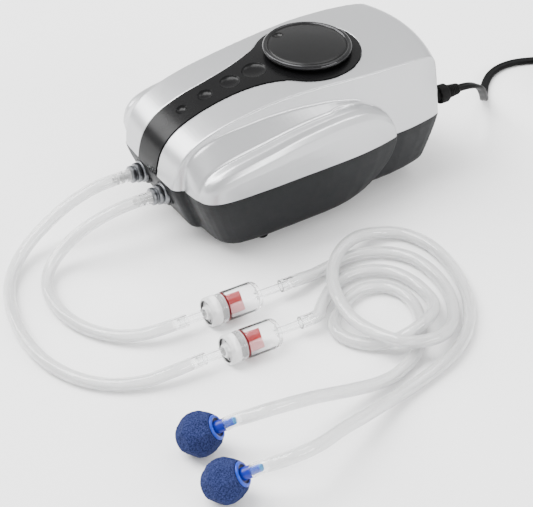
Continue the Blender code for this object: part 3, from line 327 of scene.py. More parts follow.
def core_solid(name, inset, per_span, across=3):
    rings = []
    skirt = SKIRT_Z - inset
    for row, foot in roof_rows(per_span, across, inset):
        (left_x, left_y, left_z), (right_x, right_y, right_z) = row[0], row[-1]
        middle_z = (left_z + SEAM_Z) / 2
        belly = (foot - right_x) * BELLY
        rings.append([(-foot, left_y, skirt), (-foot, left_y, min(SEAM_Z, left_z - 2)),
                      (left_x - belly, left_y, min(middle_z, left_z - 1)), *row,
                      (right_x + belly, right_y, min(middle_z, right_z - 1)),
                      (foot, right_y, min(SEAM_Z, right_z - 2)), (foot, right_y, skirt)])
    return loft(name, rings)


FENDER_ROOT_X = 20.0           # hidden inside the core, like the pontoon's root
PONTOON_ROOT_X = 21.5
FENDER_SKIRT_Z = 25.0
PONTOON_SKIRT_Z = 26.0
STEP_X = 28.0                  # upper line of the fender, at the foot of the step
CREASE_X = 36.6                # where the fender meets the pontoon
CREASE_LIP = 0.5
CREASE_DEPTH = 1.2
FENDER_EDGE_Z = 34.0           # the fender's outer edge stays below this
ROLL_FROM_Z = 34.5             # the pod's roll grows with the crease's height above this
ROLL_SHARE = 0.62
ROLL_LEAST = 0.8
GROOVE_DROP = 0.7              # from the crease's height to the start of the roll
ROLL_STEPS = 5


def fender_solid(inset, per_span):
    rings = []
    for y, step_z, crease_z, half in through(FENDER, per_span):
        crease_x = min(CREASE_X, half - 0.6)
        step_x = min(STEP_X, crease_x - 1.5)
        slope = max((step_z - crease_z) / (CREASE_X - STEP_X), 0.05)
        root_z = step_z + slope * (step_x - FENDER_ROOT_X) * 0.5
        lip_z = step_z - slope * (crease_x - step_x) + CREASE_LIP
        section = ((FENDER_ROOT_X, FENDER_SKIRT_Z), (FENDER_ROOT_X, root_z), (step_x, step_z),
                   (crease_x, lip_z), (crease_x + 0.4, lip_z - CREASE_DEPTH),
                   (half, min(lip_z - CREASE_DEPTH - 0.5, FENDER_EDGE_Z)), (half, FENDER_SKIRT_Z))
        rings.append([(x - inset * (x > FENDER_ROOT_X), inset_y(y, inset), z - inset)
                      for x, z in section])
    return loft("fender", rings)


def pontoon_solid(inset, per_span):
    """Pillow-shaped pod: a groove at the crease, a rolled top and a near-vertical side."""
    rings = []
    for y, crease_z, crease_x, half in through(PONTOON, per_span):
        half -= inset
        crease_x -= inset
        roll = max((crease_z - ROLL_FROM_Z) * ROLL_SHARE, ROLL_LEAST)
        start_x = crease_x + min(0.7, (half - crease_x) * 0.3)
        section = [(PONTOON_ROOT_X, PONTOON_SKIRT_Z), (PONTOON_ROOT_X, crease_z - 2.5),
                   (crease_x - 0.6, crease_z - 1.3), (start_x, crease_z - GROOVE_DROP)]
        for i in range(1, ROLL_STEPS + 1):
            t = i / ROLL_STEPS
            angle = math.radians(90 * i / ROLL_STEPS)
            section.append((start_x + (half - start_x) * math.sin(angle) ** 0.8,
                            crease_z - GROOVE_DROP + 0.4 * math.sin(2 * angle) * (1 - t)
                            - roll * (1 - math.cos(angle) ** 0.9)))
        section.append((half + 0.15, PONTOON_SKIRT_Z))
        rings.append([(x, inset_y(y, inset), z - inset) for x, z in section])
    return loft("pontoon", rings)


def mirrored(item):
    """The same piece on the other side of the middle plane."""
    copy = item.copy()
    copy.data = item.data.copy()
    work.objects.link(copy)
    bm = bmesh.new()
    bm.from_mesh(copy.data)
    bmesh.ops.scale(bm, vec=(-1, 1, 1), verts=bm.verts)
    bmesh.ops.recalc_face_normals(bm, faces=bm.faces)
    bm.to_mesh(copy.data)
    bm.free()
    return copy


def side_solids(inset, per_span):
    """Fenders and pontoons, right and left, as solids that still run below the seam."""
    solids = []
    for make in (fender_solid, pontoon_solid):
        right = make(inset, per_span)
        solids += [right, mirrored(right)]
    return solids


# ---- plan outlines at the seam, right half, front to rear ----
CORE_PLAN = ((22.9, -75.0), (24.9, -74.2), (26.1, -72.6), (26.6, -69.5), (27.6, -64.0),
             (31.0, -53.0), (33.5, -40.0), (35.8, -15.0), (37.0, 8.0), (37.1, 35.0),
             (36.4, 49.0), (34.8, 59.0), (33.0, 66.5), (31.4, 71.0), (24.0, 72.9), (12.0, 74.6))
POD_PLAN = ((24.0, -69.9), (31.0, -69.5), (36.0, -68.8), (39.4, -67.6), (42.0, -65.8), (44.2, -62.8),
            (45.6, -58.5), (46.3, -50.0), (46.2, -38.0), (45.5, -20.0), (44.5, 2.0), (43.4, 18.0),
            (41.9, 29.0), (40.0, 37.0), (38.9, 41.2), (38.2, 42.2), (36.0, 42.6), (24.0, 42.6))
POD_REAR_Y = 42.6
POD_ROOM_X = 27.5              # keeps a wall between the pod's well and the middle
# How the sides lean in from the seam to the underside: height of the underside, lean of the
# sides, the front and the rear, power of the rear's curve, and y of the rear end
CORE_LEAN = (BASE_Z, 5.5, 12.0, 8.0, 1.15, HALF_LENGTH)
POD_LEAN = (POD_BASE_Z, 5.0, 14.0, 22.0, 2.2, POD_REAR_Y)
SIDE_POWER = 1.3
FRONT_POWER = 1.15
HALF_WIDTH = 46.0
BILGE = 4.5                    # rounding between sides and underside
BASE_LEVELS = 16
RISE_POWER = 1.9               # sets the levels closer together towards the underside


def base_ring(outline, z, inset, lean):
    """A plan outline drawn in for its height below the seam."""
    underside, side_lean, front_lean, rear_lean, rear_power, rear_y = lean
    depth = max(0.0, (SEAM_Z - z) / (SEAM_Z - underside))
    over = max(0.0, 1 - (z - underside - inset) / BILGE)
    roll = BILGE * (1 - math.sqrt(max(0.0, 1 - over ** 2)))
    ring = []
    for x, y in outline:
        side = x * (1 - (side_lean * depth ** SIDE_POWER + roll + inset) / HALF_WIDTH)
        if y < 0:
            along = y * (1 - (front_lean * depth ** FRONT_POWER + roll + inset) / HALF_LENGTH)
        else:
            along = y * (1 - (rear_lean * depth ** rear_power + roll + inset) / rear_y)
        ring.append((side, along, z))
    return ring


def base_solid(name, outline, lean, top, inset=0.0):
    low = lean[0] + inset
    rise = [(i / BASE_LEVELS) ** RISE_POWER for i in range(BASE_LEVELS + 1)]
    levels = [low + (SEAM_Z - low) * t for t in rise] + [top]
    return loft(name, [base_ring(outline, z, inset, lean) for z in levels])


FLARE_START_Y = -46.0          # the band widens from here
FLARE_OVERRUN = 6.5            # to this far behind the front of the ring
FLARE_WIDTH = 8.4
FLARE_POWER = 2.6


def inlay_half_width(y):
    """Half-width of the black band, which flares into the ring around the knob."""
    ring_front = KNOB_CENTRE_Y - RING_RADIUS
    along = (y - KNOB_CENTRE_Y) / RING_RADIUS
    circle = RING_RADIUS * math.sqrt(max(0.0, 1 - along ** 2)) if abs(along) < 1 else 0.0
    if y > KNOB_CENTRE_Y:
        return circle
    flare = max(0.0, (y - FLARE_START_Y) / (ring_front + FLARE_OVERRUN - FLARE_START_Y))
    band_half = INLAY_HALF_WIDTH + FLARE_WIDTH * flare ** FLARE_POWER if flare < 1 else 0.0
    return max(band_half, circle)


def roof_height(rows, y_target):
    """Height of the roof's surface on its middle line."""
    middle = len(rows[0][0]) // 2
    for (low, _), (high, _) in zip(rows, rows[1:]):
        if low[middle][1] <= y_target <= high[middle][1]:
            t = (y_target - low[middle][1]) / (high[middle][1] - low[middle][1])
            edge_z = low[0][2] + t * (high[0][2] - low[0][2])
            return edge_z + ((low[middle][2] - low[0][2]) * (1 - t)
                             + (high[middle][2] - high[0][2]) * t)
    return None


# Centrelines of the hoses, from fitting to fitting
HOSE_ROUTES = {
    "hose_left_outlet": (
        (-10.8, -88.9, 26.4), (-11.3, -99.0, 25.0), (-12.0, -111.5, 20.4), (-11.3, -123.5, 14.2),
        (-8.0, -135.5, 8.4), (-0.5, -146.5, 4.4), (12.0, -155.5, 3.1), (29.0, -162.0, 3.1),
        (49.0, -165.5, 3.1), (69.0, -164.5, 3.1), (86.0, -158.0, 3.1), (98.0, -147.0, 3.1),
        (104.6, -134.0, 3.9), (107.2, -121.4, 5.9), (107.8, -109.1, 7.1)),
    "hose_right_outlet": (
        (10.8, -88.9, 26.4), (10.6, -98.0, 25.4), (9.2, -107.5, 22.0), (7.2, -116.0, 16.8),
        (6.8, -124.0, 11.2), (9.2, -131.5, 6.6), (16.0, -138.0, 3.8), (28.0, -142.3, 3.1),
        (43.0, -142.8, 3.1), (57.0, -138.8, 3.1), (68.5, -130.8, 3.4), (75.8, -121.6, 4.8),
        (79.2, -112.0, 6.5), (80.0, -103.1, 7.1)),
    "hose_to_lower_stone": (
        (80.0, -44.4, 7.1), (79.5, -39.0, 6.7), (77.8, -31.5, 4.9), (75.0, -22.0, 3.3),
        (73.0, -10.0, 3.1), (74.0, 1.0, 3.1), (79.0, 11.0, 3.1), (88.0, 18.0, 3.1), (100.0, 20.5, 3.1),
        (113.0, 19.5, 3.1), (125.5, 15.5, 3.3), (137.0, 8.5, 4.6), (146.5, -1.5, 7.4),
        (150.5, -12.5, 9.8), (147.0, -24.0, 10.6), (136.5, -31.8, 10.8), (120.0, -35.0, 9.4),
        (103.0, -32.5, 9.9), (88.0, -26.0, 9.9), (75.5, -14.8, 9.9), (67.0, -1.0, 8.0),
        (64.5, 12.0, 5.0), (68.5, 23.5, 3.3), (78.5, 30.0, 3.1), (92.0, 32.0, 3.1), (108.0, 30.0, 3.1),
        (125.0, 24.5, 3.1), (140.5, 15.0, 3.1), (152.5, 2.5, 3.1), (160.0, -12.0, 3.1),
        (165.7, -30.7, 3.1), (169.6, -43.0, 4.6), (175.0, -56.4, 8.0), (181.3, -70.1, 12.6),
        (187.5, -83.6, 17.3), (194.6, -96.8, 22.0), (197.8, -104.6, 24.4), (198.6, -112.4, 25.0),
        (196.9, -119.2, 23.5), (193.2, -124.5, 20.3)),
    "hose_to_upper_stone": (
        (107.8, -50.0, 7.1), (107.0, -45.6, 6.9), (102.2, -41.0, 5.8), (95.2, -34.4, 4.0),
        (89.0, -26.4, 3.1), (85.0, -15.6, 3.1), (86.5, -4.0, 3.1), (93.0, 4.2, 3.1), (103.5, 8.3, 3.1),
        (115.0, 8.6, 3.4), (126.0, 5.2, 5.6), (135.0, -2.8, 8.9), (139.8, -13.5, 9.4),
        (138.6, -24.0, 5.9), (133.4, -33.0, 3.3), (126.4, -39.4, 3.1), (118.6, -41.8, 3.1),
        (110.8, -39.0, 3.1), (104.8, -32.0, 3.1), (99.8, -24.0, 3.1), (97.2, -15.0, 3.1),
        (99.4, -6.6, 3.1), (105.6, -1.6, 3.1), (114.0, -0.2, 3.1), (124.0, -2.4, 3.1),
        (134.0, -7.4, 3.1), (143.0, -14.0, 3.1), (150.5, -22.5, 3.1), (156.2, -35.9, 3.1),
        (158.6, -47.4, 4.9), (161.0, -59.4, 9.0), (163.6, -71.5, 13.9), (166.0, -83.2, 18.7),
        (168.5, -93.6, 22.6), (169.5, -101.4, 24.6), (169.1, -108.6, 25.1), (166.9, -114.9, 23.5),
        (163.0, -119.7, 20.3)),
}


# ---------------------------------------------------------------- materials
FIRST_TONE, SECOND_TONE = 6, 7  # colour sockets of a mix node
MIXED_TONE = 2                 # its colour output
COAT_ROUGHNESS = 0.12
WEAR_SCALE = 0.07              # of the wear that varies the roughness, against the two tones' scale
RELIEF_DEPTH = 0.0002          # metres


def material(name, colour, second, scale, roughness, rough_spread=0.08, metallic=0.0, bump=0.0,
             bump_scale=None, coat=0.0, transmission=0.0, ior=1.45, detail=3.0, gloss=0.5,
             sheen=0.0):
    """A plastic, rubber or metal: two tones mixed by noise, with its own roughness and grain."""
    mat = bpy.data.materials.new(name)
    mat.use_nodes = True
    nodes, links = mat.node_tree.nodes, mat.node_tree.links
    shader = nodes["Principled BSDF"]
    where = nodes.new("ShaderNodeTexCoord")

    def fill(node, values):
        for key, value in values.items():
            node.inputs[key].default_value = value
        return node

    def speckle(size, fineness):
        node = fill(nodes.new("ShaderNodeTexNoise"), {"Scale": size, "Detail": fineness})
        links.new(where.outputs["Object"], node.inputs["Vector"])
        return node.outputs["Fac"]

    def spread(source, start, end, low=0.0, high=1.0):
        node = fill(nodes.new("ShaderNodeMapRange"),
                    {"From Min": start, "From Max": end, "To Min": low, "To Max": high})
        links.new(source, node.inputs["Value"])
        return node.outputs["Result"]

    tones = nodes.new("ShaderNodeMix")
    tones.data_type = "RGBA"
    fill(tones, {FIRST_TONE: (*colour, 1.0), SECOND_TONE: (*second, 1.0)})
    links.new(spread(speckle(scale, detail), 0.35, 0.65), tones.inputs[0])
    links.new(tones.outputs[MIXED_TONE], shader.inputs["Base Color"])
    wear = spread(speckle(scale * WEAR_SCALE, 2.0), 0.3, 0.7, max(0.02, roughness - rough_spread / 2),
                  roughness + rough_spread / 2)
    links.new(wear, shader.inputs["Roughness"])
    fill(shader, {"Metallic": metallic, "Coat Weight": coat, "Coat Roughness": COAT_ROUGHNESS,
                  "Transmission Weight": transmission, "IOR": ior, "Specular IOR Level": gloss,
                  "Sheen Weight": sheen})
    if bump:
        relief = fill(nodes.new("ShaderNodeBump"), {"Strength": bump, "Distance": RELIEF_DEPTH})
        links.new(speckle(bump_scale or scale, 4.0), relief.inputs["Height"])
        links.new(relief.outputs["Normal"], shader.inputs["Normal"])
    mat.diffuse_color = (*colour, 1.0)
    return mat


SILVER = material("silver_paint", (0.45, 0.455, 0.465), (0.49, 0.495, 0.505), 5200, 0.3, 0.03,
                  metallic=0.7, bump=0.012, bump_scale=3500, coat=0.08)
CHARCOAL = material("charcoal_moulding", (0.008, 0.0085, 0.0095), (0.011, 0.0115, 0.0125), 2600, 0.5,
                    bump=0.12, bump_scale=4200, gloss=0.17)
INLAY_BLACK = material("black_inlay", (0.003, 0.003, 0.0032), (0.0045, 0.0045, 0.0048), 1500, 0.26, 0.06,
                       bump=0.05, bump_scale=3600, gloss=0.15)
KNOB_BLACK = material("dial_black", (0.004, 0.004, 0.0042), (0.006, 0.006, 0.0062), 1800, 0.32, 0.08,
                      bump=0.08, bump_scale=3800, gloss=0.24)
RIM = material("dial_rim", (0.022, 0.022, 0.023), (0.03, 0.03, 0.031), 1200, 0.2, 0.05, metallic=0.8)
RUBBER = material("black_rubber_looks", (0.002, 0.002, 0.002), (0.004, 0.004, 0.004), 1800, 0.6, 0.12,
                  bump=0.15, bump_scale=4000, gloss=0.12)
LEAD = material("lead_sheath", (0.002, 0.002, 0.0022), (0.0035, 0.0035, 0.0038), 1400, 0.5, 0.1,
                bump=0.06, bump_scale=2600, gloss=0.1)
CHROME = material("fitting_chrome", (0.16, 0.165, 0.175), (0.22, 0.225, 0.235), 900, 0.34, 0.08,
                  metallic=1.0)
STEEL = material("steel_looks", (0.26, 0.26, 0.27), (0.32, 0.32, 0.33), 1600, 0.34, 0.14, metallic=1.0,
                 bump=0.06)
VINYL = material("hose_vinyl", (0.93, 0.933, 0.935), (0.95, 0.952, 0.954), 240, 0.1, 0.06,
                 transmission=0.74, ior=1.42)
CLEAR = material("clear_hose_end", (0.97, 0.973, 0.975), (0.98, 0.982, 0.984), 240, 0.06, 0.04,
                 transmission=0.99, ior=1.38)
CLEAR_HARD = material("clear_moulding", (0.975, 0.98, 0.982), (0.99, 0.992, 0.994), 300, 0.04, 0.03,
                      transmission=0.98, ior=1.2)
MILKY = material("milky_moulding", (0.90, 0.90, 0.90), (0.95, 0.95, 0.95), 420, 0.1, 0.06,
                 transmission=0.45, ior=1.33)
GREY_FACE = material("cap_face", (0.33, 0.32, 0.325), (0.52, 0.51, 0.515), 900, 0.2, 0.06, gloss=0.3)
# painted shadow, for the cap's groove and the walls of its air holes
CAP_PAINTED_SHADE = material("cap_shadow_line", (0.02, 0.02, 0.02), (0.035, 0.035, 0.035), 900, 0.4, 0.1, gloss=0.2)
RED = material("red_duckbill", (0.30, 0.001, 0.002), (0.34, 0.001, 0.003), 500, 0.3, 0.1, gloss=0.05)
LIGHT_RED = material("red_sleeve", (0.42, 0.05, 0.06), (0.46, 0.06, 0.07), 500, 0.3, 0.1, gloss=0.1)
PINK = material("pale_red_rubber", (0.58, 0.24, 0.25), (0.64, 0.29, 0.30), 500, 0.3, 0.1, gloss=0.15)
DEEP_RED = material("red_flange", (0.07, 0.001, 0.003), (0.10, 0.002, 0.005), 500, 0.35, 0.1, gloss=0.2)
STONE = material("stone_grit", (0.002, 0.006, 0.030), (0.032, 0.042, 0.13), 1900, 0.9, 0.1, bump=1.0,
                 bump_scale=2100, detail=4.0, gloss=0.1)
BLUE = material("blue_stem", (0.008, 0.035, 0.36), (0.012, 0.050, 0.42), 500, 0.3, 0.08, gloss=0.25)
HUB_BLUE = material("blue_hub", (0.002, 0.010, 0.22), (0.003, 0.014, 0.27), 500, 0.26, 0.08, gloss=0.35)
# painted shade, for the groove round the stem's hub
RECESS_PAINTED_SHADE = material("blue_recess_painted_shade", (0.001, 0.001, 0.03), (0.002, 0.002, 0.04), 500, 0.4, 0.08, gloss=0.15)
TUBE_BLUE = material("blue_stem_tube", (0.02, 0.07, 0.50), (0.03, 0.09, 0.56), 500, 0.3, 0.08, gloss=0.1)
PALE_BLUE = material("blue_stem_tip", (0.02, 0.26, 0.60), (0.03, 0.30, 0.66), 500, 0.24, 0.08, gloss=0.1)
BOARD = material("board_green", (0.02, 0.12, 0.05), (0.03, 0.17, 0.08), 800, 0.45, 0.1, coat=0.3)
COPPER = material("winding_copper", (0.50, 0.19, 0.08), (0.62, 0.26, 0.11), 900, 0.32, 0.1, metallic=1.0)
MAGNET = material("ferrite", (0.10, 0.10, 0.105), (0.14, 0.14, 0.145), 1500, 0.55, 0.1, bump=0.2)
WHITE = material("white_moulding", (0.72, 0.72, 0.69), (0.78, 0.78, 0.75), 700, 0.42, 0.1, bump=0.05)
FELT = material("felt_looks", (0.62, 0.62, 0.58), (0.74, 0.74, 0.70), 2600, 0.95, 0.05, bump=0.9,
                sheen=0.3)
LAMINATED = material("lamination_steel", (0.24, 0.24, 0.25), (0.34, 0.34, 0.35), 1200, 0.4, 0.15,
                     metallic=0.9, bump=0.2)


def show(item, body, slot, *nodes):
    """Put a finished piece on its body, in place of the CAD nodes it stands for."""
    work.objects.unlink(item)
    shown.objects.link(item)
    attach(item, body)
    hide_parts(*nodes)


def finish_mesh(item, mat, degrees=35):
    item.data.materials.clear()
    item.data.materials.append(mat)
    smooth(item, degrees)


def tint(item, centre, looks, choose):
    """Add looks to a piece; choose() gives a face's look from its place and its normal."""
    for mat in looks:
        item.data.materials.append(mat)
    for face in item.data.polygons:
        face.material_index = choose(face.center / MM - Vector(centre), face.normal)


def soften(item, voxel, rounds):
    """Round off every edge a little, as a moulding has, by remeshing and smoothing."""
    remesh = item.modifiers.new("Even", "REMESH")
    remesh.mode = "VOXEL"
    remesh.voxel_size = voxel * MM
    bake(item)
    relax = item.modifiers.new("Relax", "SMOOTH")
    relax.factor = 0.5
    relax.iterations = rounds
    bake(item)


# ---------------------------------------------------------------- base
def make_base():
    left_plan = [(-x, y) for x, y in reversed(CORE_PLAN)]
    core = [*CORE_PLAN, (0.0, 75.0), *left_plan, (0.0, -75.4)]
    shell = base_solid("base_looks", core, CORE_LEAN, SEAM_Z + 2)
    pod = base_solid("pod", POD_PLAN, POD_LEAN, SEAM_Z + 3)
    for solid in (pod, mirrored(pod)):
        change(shell, solid, "UNION")
    soften(shell, 0.55, 4)
    change(shell, base_solid("room", core, CORE_LEAN, SEAM_Z + 5, WALL))
    well_plan = [(max(x, POD_ROOM_X), y) for x, y in POD_PLAN]
    well = base_solid("well", well_plan, POD_LEAN, SEAM_Z + 6, WALL)
    for solid in (well, mirrored(well)):
        change(shell, solid)
    change(shell, box((-80, -100, SEAM_Z - GAP / 2), (80, 100, SEAM_Z + 20)))
    for side in (-1, 1):
        face = (side * OUTLET_X, OUTLET_FACE_Y, OUTLET_Z)
        change(shell, rod((SEAT_RADIUS + SEAT_WALL, -5, 0), face, "-Y", 48), "UNION")
        for radius, depth in ((SEAT_RADIUS, 0.0), (OUTLET_HOLE_RADIUS, -12.0)):
            change(shell, rod((radius, depth, 12), face, "-Y", 48))
    for foot in FEET:
        change(shell, rod(FOOT_HOLE, foot, "Z", 24))
    for x, y in SCREWS:
        change(shell, rod(POST, (x, y, 0), "Z"), "UNION")
        for hole in SCREW_HOLES:
            change(shell, rod(hole, (x, y, 0), "Z"))
    change(shell, rod(INTAKE, (0, FILTER_Y, BASE_Z), "Z", 48))
    finish_mesh(shell, CHARCOAL)
    show(shell, "pump", "charcoal_plastic", "base_shell")


# ---------------------------------------------------------------- top shell and inlay
TIP_LENGTH = 9                 # rows get closer over this last part of the ring
TIP_HALF_WIDTH = 0.4
ARCH_START_Y = -52             # the band's cross-section is arched from here on
ARCH_GROWTH = 0.035
ARCH_MOST = 1.8
ARCH_HALF_WIDTH = 30.0


def inlay_solid(name, margin, lift, depth, rows_per_span, across, steps):
    """The keyhole band that follows the roof, from the front seam to behind the dial."""
    middle = 4
    rows = roof_rows(rows_per_span, middle)
    spine = [(row[middle][1], row[middle][2]) for row, _ in rows]
    end_y = KNOB_CENTRE_Y + RING_RADIUS + margin
    stations = [p for p in spine if p[0] < end_y - TIP_LENGTH and p[1] >= SEAM_Z - 3]
    for i in range(1, steps + 1):
        y = end_y - TIP_LENGTH + TIP_LENGTH * math.sin(math.radians(90 * i / steps))
        stations.append((y, roof_height(rows, y)))
    rings = []
    scale = RING_RADIUS / (RING_RADIUS + margin)
    for i, (y, z) in enumerate(stations):
        before, after = stations[max(i - 1, 0)], stations[min(i + 1, len(stations) - 1)]
        tangent = Vector((0, after[0] - before[0], after[1] - before[1])).normalized()
        normal = Vector((0, -tangent.z, tangent.y))
        centred = KNOB_CENTRE_Y + (y - KNOB_CENTRE_Y) * scale if y > KNOB_CENTRE_Y else y
        half = inlay_half_width(centred) + margin * (centred < KNOB_CENTRE_Y)
        if y > KNOB_CENTRE_Y:
            half = half / scale
        half = max(half, TIP_HALF_WIDTH)
        arch = max(0.0, min(ARCH_MOST, (y - ARCH_START_Y) * ARCH_GROWTH))
        ring = []
        for offset, direction in ((lift, 1), (-depth, -1)):
            for k in range(-across, across + 1):
                x = direction * k / across * half
                ring.append(Vector((x, y, z - arch * (x / ARCH_HALF_WIDTH) ** 2)) + normal * offset)
        rings.append(ring)
    return loft(name, rings)


def trim_below_seam(item):
    change(item, box((-80, -100, 0), (80, 100, SEAM_Z + GAP / 2)))


DIMPLES = ((-56.2, 2.8, 1.3), (-43.4, 3.8, 1.5), (-30.0, 5.0, 1.4), (-16.6, 6.0, 1.5))
BOWL_STEPS = 8


def dimple_profile(radius, depth):
    """A rolled lip, a short wall and a bowl."""
    bowl = [(0, 4), (radius + 0.6, 4), (radius + 0.45, 0.25), (radius + 0.15, 0.02),
            (radius - 0.1, -0.15), (radius - 0.35, -0.5)]
    for k in range(1, BOWL_STEPS):
        t = k / BOWL_STEPS
        bowl.append(((radius - 0.4) * math.cos(t * math.pi / 2) ** 0.8 * (1 - 0.28 * t),
                     -0.5 - (depth - 0.5) * math.sin(t * math.pi / 2)))
    return [*bowl, (0, -depth)]


def make_top():
    top = core_solid("top_looks", 0.0, 5, 8)
    for solid in side_solids(0.0, 5):
        change(top, solid, "UNION")
    channel = (3.0, INLAY_THICKNESS + 0.4, 6, 3, 24)
    change(top, inlay_solid("channel", 0.3, *channel))
    soften(top, 0.42, 9)
    trim_below_seam(top)
    for solid in (core_solid("room", WALL, 1), *side_solids(WALL, 1)):
        change(top, solid)
    rib = inlay_solid("rib", 2.0, -1.2, INLAY_THICKNESS + 2.0, 2, 3, 8)
    trim_below_seam(rib)
    change(top, rib, "UNION")
    change(top, inlay_solid("channel", 0.45, *channel))
    change(top, rod((3.5, -20, 20), (GLAND_X, 72, GLAND_Z), "Y", 40))

    inlay = inlay_solid("inlay_looks", 0.0, 0.25, INLAY_THICKNESS, 6, 6, 24)
    trim_below_seam(inlay)
    for piece in (top, inlay):
        change(piece, rod((3.6, 55, 90), (0, KNOB_CENTRE_Y, 0), "Z", 40))
    rows = roof_rows(6, 4)
    for y, radius, depth in DIMPLES:
        z = roof_height(rows, y) + 0.2
        rise = roof_height(rows, y + 3) - roof_height(rows, y - 3)
        slope = Vector((0, -rise, 6.0)).normalized()
        change(inlay, turned("dimple", dimple_profile(radius, depth), (0, y, z), slope, 56))
    finish_mesh(top, SILVER, 38)
    finish_mesh(inlay, INLAY_BLACK, 30)
    show(top, "pump", "silver_plastic", "top_shell")
    show(inlay, "pump", "black_gloss_plastic", "top_inlay")


# ---------------------------------------------------------------- dial
RIM_WIDTH = 2.5
RIM_HEIGHT = 2.0


def make_knob():
    r, low, high = KNOB_RADIUS, KNOB_BOTTOM_Z, KNOB_TOP_Z
    dome = [(0.85 * r * k / 12, high + 0.95 - 1.35 * (k / 12) ** 2) for k in range(13)]
    rim = [(r - inward, high - down) for inward, down in (
        (2.95, 0.62), (2.7, 0.85), (2.45, 0.8), (2.15, 0.45), (1.75, 0.15), (1.3, 0.05),
        (0.85, 0.15), (0.45, 0.45), (0.15, 0.9), (0.0, 1.4), (0.05, 1.9), (0.3, 2.4))]
    skirt = [(r - 0.75, low + 0.4), (r - 1.3, low + 0.1), (r - 2.0, low), (r - 3.0, low),
             (r - 3.2, high - 2.4), (5.2, high - 2.4), (4.8, low + 0.2), (0, low + 0.2)]
    centre = (0, KNOB_CENTRE_Y, 0)
    knob = turned("dial_looks", dome + rim + skirt, centre, "Z", 144)
    pointer = ((0, 3), (3.0, 3), (2.95, 0.3), (2.7, -0.4), (2.2, -1.0), (1.3, -1.5), (0, -1.7))
    combine(knob, turned("pointer", pointer, (-14.0, KNOB_CENTRE_Y - 8.5, high + 0.1), "Z", 40))
    combine(knob, rod((2.95, 60, 76.0), centre, "Z", 40))
    finish_mesh(knob, KNOB_BLACK, 28)
    tint(knob, centre, (RIM,),
         lambda out, _: int(math.hypot(out.x, out.y) > r - RIM_WIDTH and out.z > high - RIM_HEIGHT))
    show(knob, "knob", "black_gloss_plastic", "control_knob")


# ---------------------------------------------------------------- turned fittings
OUTLET = (
    (0, 17.0), (1.5, 17.0), (1.9, 16.7), (2.25, 15.6), (2.3, 15.3), (1.9, 15.0), (1.9, 13.8),
    (2.25, 12.2), (2.3, 11.9), (1.9, 11.6), (1.9, 10.4), (2.3, 9.2), (2.3, 8.1), (3.9, 8.05),
    (4.25, 7.8), (4.3, 7.4), (4.3, 6.4), (4.1, 6.1), (3.6, 5.95), (3.6, 5.3), (4.5, 5.15),
    (4.85, 4.85), (4.9, 4.4), (4.9, 3.4), (4.75, 2.95), (4.4, 2.7), (5.2, 2.35), (5.45, 2.05),
    (5.5, 1.7), (5.5, 0.5), (5.35, 0.3), (3.9, 0.3), (3.9, -5.2), (2.4, -5.2), (2.4, -8.0), (0, -8.0))
BARB_START = 8.2               # the pale hose tail begins this far out from the pump
OUTLET_FLATS = 6               # sides of the outlet's hexagon, each cut by a round tool
FLAT_CENTRE = 6.6
FLAT = (2.4, 6.2, 8.3)


def make_outlets():
    for side, name in ((1, "right"), (-1, "left")):
        x = side * OUTLET_X
        origin = (x, OUTLET_FACE_Y, OUTLET_Z)
        nozzle = turned(f"outlet_looks_{name}", OUTLET, origin, "-Y", 64)
        combine(nozzle, rod((1.2, -12, 20), origin, "-Y", 24))
        for k in range(OUTLET_FLATS):
            angle = math.radians(360 / OUTLET_FLATS * k + 10)
            centre = (x + FLAT_CENTRE * math.cos(angle), OUTLET_FACE_Y,
                      OUTLET_Z + FLAT_CENTRE * math.sin(angle))
            combine(nozzle, rod(FLAT, centre, "-Y", 20))
        finish_mesh(nozzle, CHROME)
        tint(nozzle, origin, (MILKY,), lambda out, _: int(out.y < -BARB_START))
        show(nozzle, "pump", "chromed_fitting", f"outlet_nozzle_{name}")


VALVES = (("right", 80.0, -88.4), ("left", 107.8, -94.4))
VALVE_Z = 7.1
VALVE_CAP = (
    (0, 8.2), (6.9, 8.2), (7.0, 8.0), (7.0, 5.3), (6.8, 5.15), (6.8, 4.85), (7.0, 4.7),
    (7.0, 0.9), (6.75, 0.3), (6.3, 0.0), (5.75, 0.1), (5.5, 0.4), (5.3, 1.1), (3.6, 1.1),
    (3.2, 0.6), (3.1, -0.6), (2.8, -0.9), (2.2, -1.0), (2.1, -10.6), (1.95, -10.8),
    (1.95, -12.6), (1.7, -14.3), (0, -14.4))
VALVE_BODY = (
    (0, 43.4), (1.7, 43.3), (2.05, 41.4), (2.15, 29.0), (2.5, 28.0), (3.6, 27.4), (3.9, 27.2),
    (5.4, 26.7), (6.2, 26.1), (6.8, 25.1), (7.0, 23.9), (7.0, 9.8), (6.9, 9.6), (0, 9.6))
VALVE_ROOM = ((0, 25.2), (4.8, 25.2), (5.9, 24.6), (6.5, 23.4), (6.5, 9), (0, 9))
CAP_PORTS = 4                  # air holes through each cap's face, around its stem
PORT_RADIUS = 0.62
PORT_REACH = 4.25
CAP_LOOKS = (GREY_FACE, CAP_PAINTED_SHADE, CLEAR_HARD)
CAP_MILKY = (-1.0, 5.0)        # depths from the cap's front; it is clear outside them
FACE_Y = 1.2                   # the cap's face is no deeper than this
CAP_GROOVE = (5.3, 5.8)        # inner and outer radius
CAP_FACE = (3.4, 5.4)
PORT_WALL = (1.15, 2.35)       # depths between which a face can be the wall of a hole
PORT_MARGIN = 1.0


def cap_look(out, _):
    """Clear at the tail and the joint, with a grey face, painted shadow in the groove round it and painted
    shade in its holes.
    """
    reach = math.hypot(out.x, out.z)
    if out.y > CAP_MILKY[1] or out.y < CAP_MILKY[0]:
        return 3
    # the groove round the face gets painted shadow
    if CAP_GROOVE[0] < reach < CAP_GROOVE[1] and out.y < FACE_Y:
        return 2
    if CAP_FACE[0] < reach < CAP_FACE[1] and out.y < FACE_Y:
        return 1
    # the walls of the air holes get painted shade
    if PORT_WALL[0] < out.y < PORT_WALL[1] and abs(reach - PORT_REACH) < PORT_MARGIN:
        return 2
    return 0


